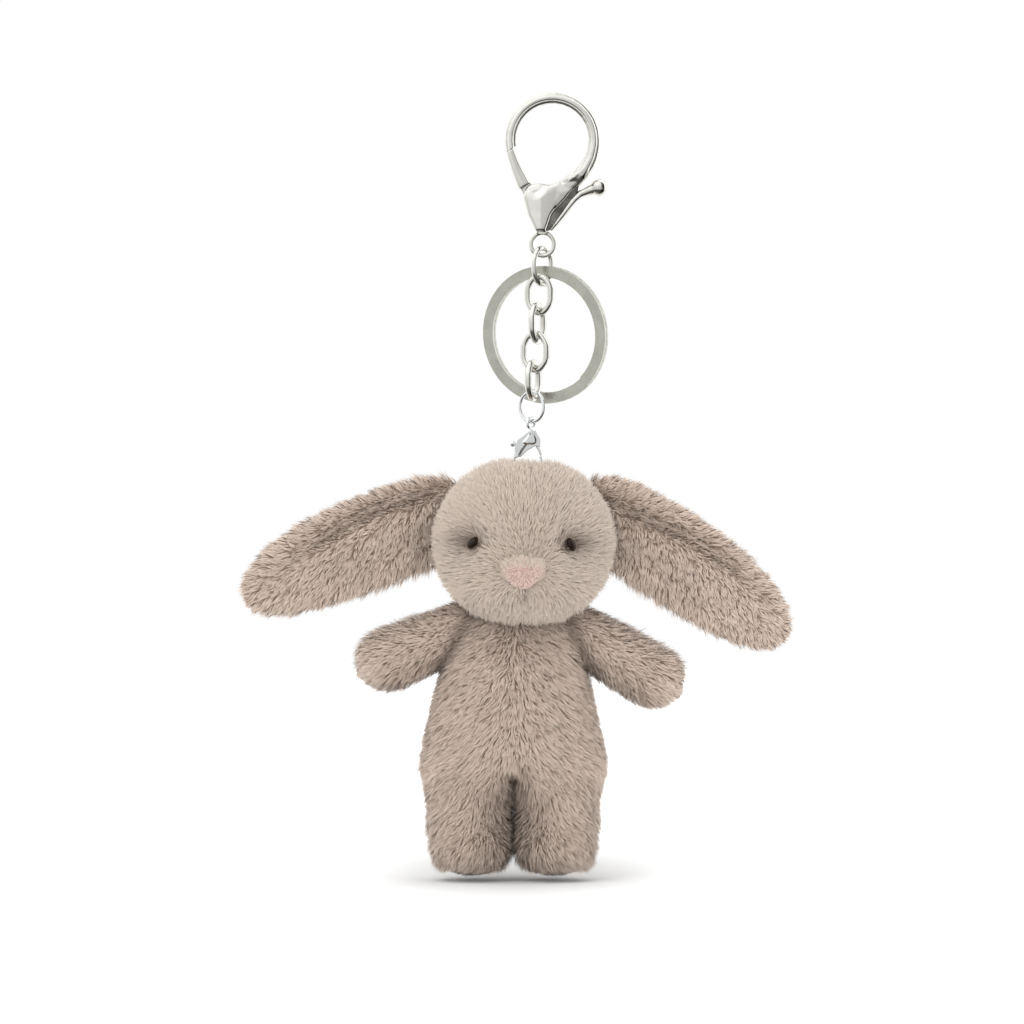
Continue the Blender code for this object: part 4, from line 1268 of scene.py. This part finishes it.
def metals(cad):
    bright = plated("bright_nickel", (0.70, 0.69, 0.65), (0.80, 0.795, 0.765), 0.05, 0.14, 0.05)
    cast = plated("cast_nickel", (0.66, 0.65, 0.61), (0.78, 0.775, 0.745), 0.10, 0.22, 0.08)
    cold = plated("cold_nickel", (0.74, 0.76, 0.77), (0.84, 0.86, 0.87), 0.06, 0.18, 0.08)
    satin = plated("satin_nickel", (0.50, 0.495, 0.445), (0.60, 0.595, 0.54), 0.20, 0.32, 0.2)
    steel = plated("spring_steel", (0.40, 0.40, 0.40), (0.50, 0.50, 0.50), 0.25, 0.40, 0.1)
    # dark metal for painted shade in the clasp's recess and the small clasp's slit
    rough = plated("painted_shade_casting", (0.10, 0.10, 0.09), (0.34, 0.33, 0.31), 0.35, 0.60, 0.9)
    big, small = ((0.16, 0.075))  # the size of the voxels, in mm
    rounded(cad, "clasp_body", big, 5, bright, heart_cheeks(), round_hook, slim)
    ball = ellipsoid("thumb", (10.3, 0.0, -18.1), (1.8, 1.8, 1.8))
    rounded(cad, "clasp_gate", big, 4, bright, [rib("lever", LEVER), ball], shut)
    smoothed(cad, "clasp_pivot_pin", 30.0, cast, lambda p: p * np.array([1.0, 0.7, 1.0]))
    # a dark plate of painted shade in the recess between the heart and the lever
    recess = slab("clasp_recess", RECESS, -0.75, 0.75)
    cheek = slab("cheek", SMALL_CHEEK, -0.95, 0.95)
    rounded(cad, "small_clasp_body", small, 6, cold, [cheek])
    rounded(cad, "small_clasp_gate", small, 3, cold)
    # thin dark sheets of painted shade just under the small clasp's cheeks, in its slit
    slits = [slab("slit", SMALL_SLIT, side * 0.88, side * 0.97) for side in (-1.0, 1.0)]
    slit = join("small_clasp_slit", slits)
    for obj, body in ((recess, "gate"), (slit, "small_clasp")):
        obj.data.materials.append(rough)
        shade_smooth(obj.data, False)
        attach(obj, body)
    for name in ("link_1", "link_2", "link_3", "link_4", "link_5"):
        smoothed(cad, name, 60.0, bright, oval, 0.0 if name == "link_1" else SWELL)
    for name in ("jump_ring", "small_clasp_pin"):
        smoothed(cad, name, 60.0, cold)
    smoothed(cad, "split_ring", 30.0, satin)
    for name in ("clasp_spring", "small_clasp_spring"):
        cad[name].material_slots[0].material = steel


def cloth(name, dark, light, weave):
    """Woven cloth or loose fibre, with a fine relief."""
    mat, tree, shader = nodes_of(name)
    where = place_in_mm(tree)
    surface = {
        "Base Color": ramp(tree, noise(tree, where, 0.9), [(0.3, dark), (0.7, light)]),
        "Roughness": stretch(tree, noise(tree, where, 2.0), 0.8, 0.95),
        "Normal": bump(tree, noise(tree, where, weave, 5.0), 0.5, 0.0004),
    }
    feed(tree, shader, surface)
    return mat


def slanted(p, side):
    """Narrows an eye bead across its slit, as far as the fur leaves it open."""
    sx, sz = EYE_SLANT[side]
    squeeze = -0.38 * eye_frame(p, side)[1]
    out = p.copy()
    out[:, 0] += squeeze * sz
    out[:, 2] -= squeeze * sx
    return out


def face_parts(cad):
    bead, tree, shader = nodes_of("eye_bead")
    where = place_in_mm(tree)
    dark, light = (0.007, 0.003, 0.002), (0.016, 0.008, 0.006)
    surface = {
        "Base Color": ramp(tree, noise(tree, where, 0.8), [(0.3, dark), (0.7, light)]),
        "Roughness": stretch(tree, noise(tree, where, 3.0), 0.1, 0.22),
        "Specular IOR Level": 0.22,
    }
    feed(tree, shader, surface)
    for side in EYES:
        smoothed(cad, f"eye_{side}", 60.0, bead, lambda p, side=side: slanted(p, side))


def insides(cad):
    """What the skins hold, which shows only if a skin is taken off."""
    filling = cloth("fibrefill", (0.72, 0.72, 0.70), (0.86, 0.86, 0.84), 1.4)
    lining = cloth("pouch_cloth", (0.55, 0.52, 0.47), (0.66, 0.63, 0.58), 4.0)
    ribbon = cloth("loop_ribbon", (0.42, 0.34, 0.28), (0.52, 0.43, 0.36), 5.0)
    plastic = cloth("washer_plastic", (0.60, 0.60, 0.58), (0.70, 0.70, 0.68), 0.6)
    for name, shown in cad.items():
        if name.endswith("stuffing"):
            shown.material_slots[0].material = filling
        elif name.startswith("eye_washer"):
            shown.material_slots[0].material = plastic
    cad["bean_pouch"].material_slots[0].material = lining
    cad["hanging_loop"].material_slots[0].material = ribbon


camera()
studio()
room()
metals(cad)
face_parts(cad)
insides(cad)
rabbit(cad)
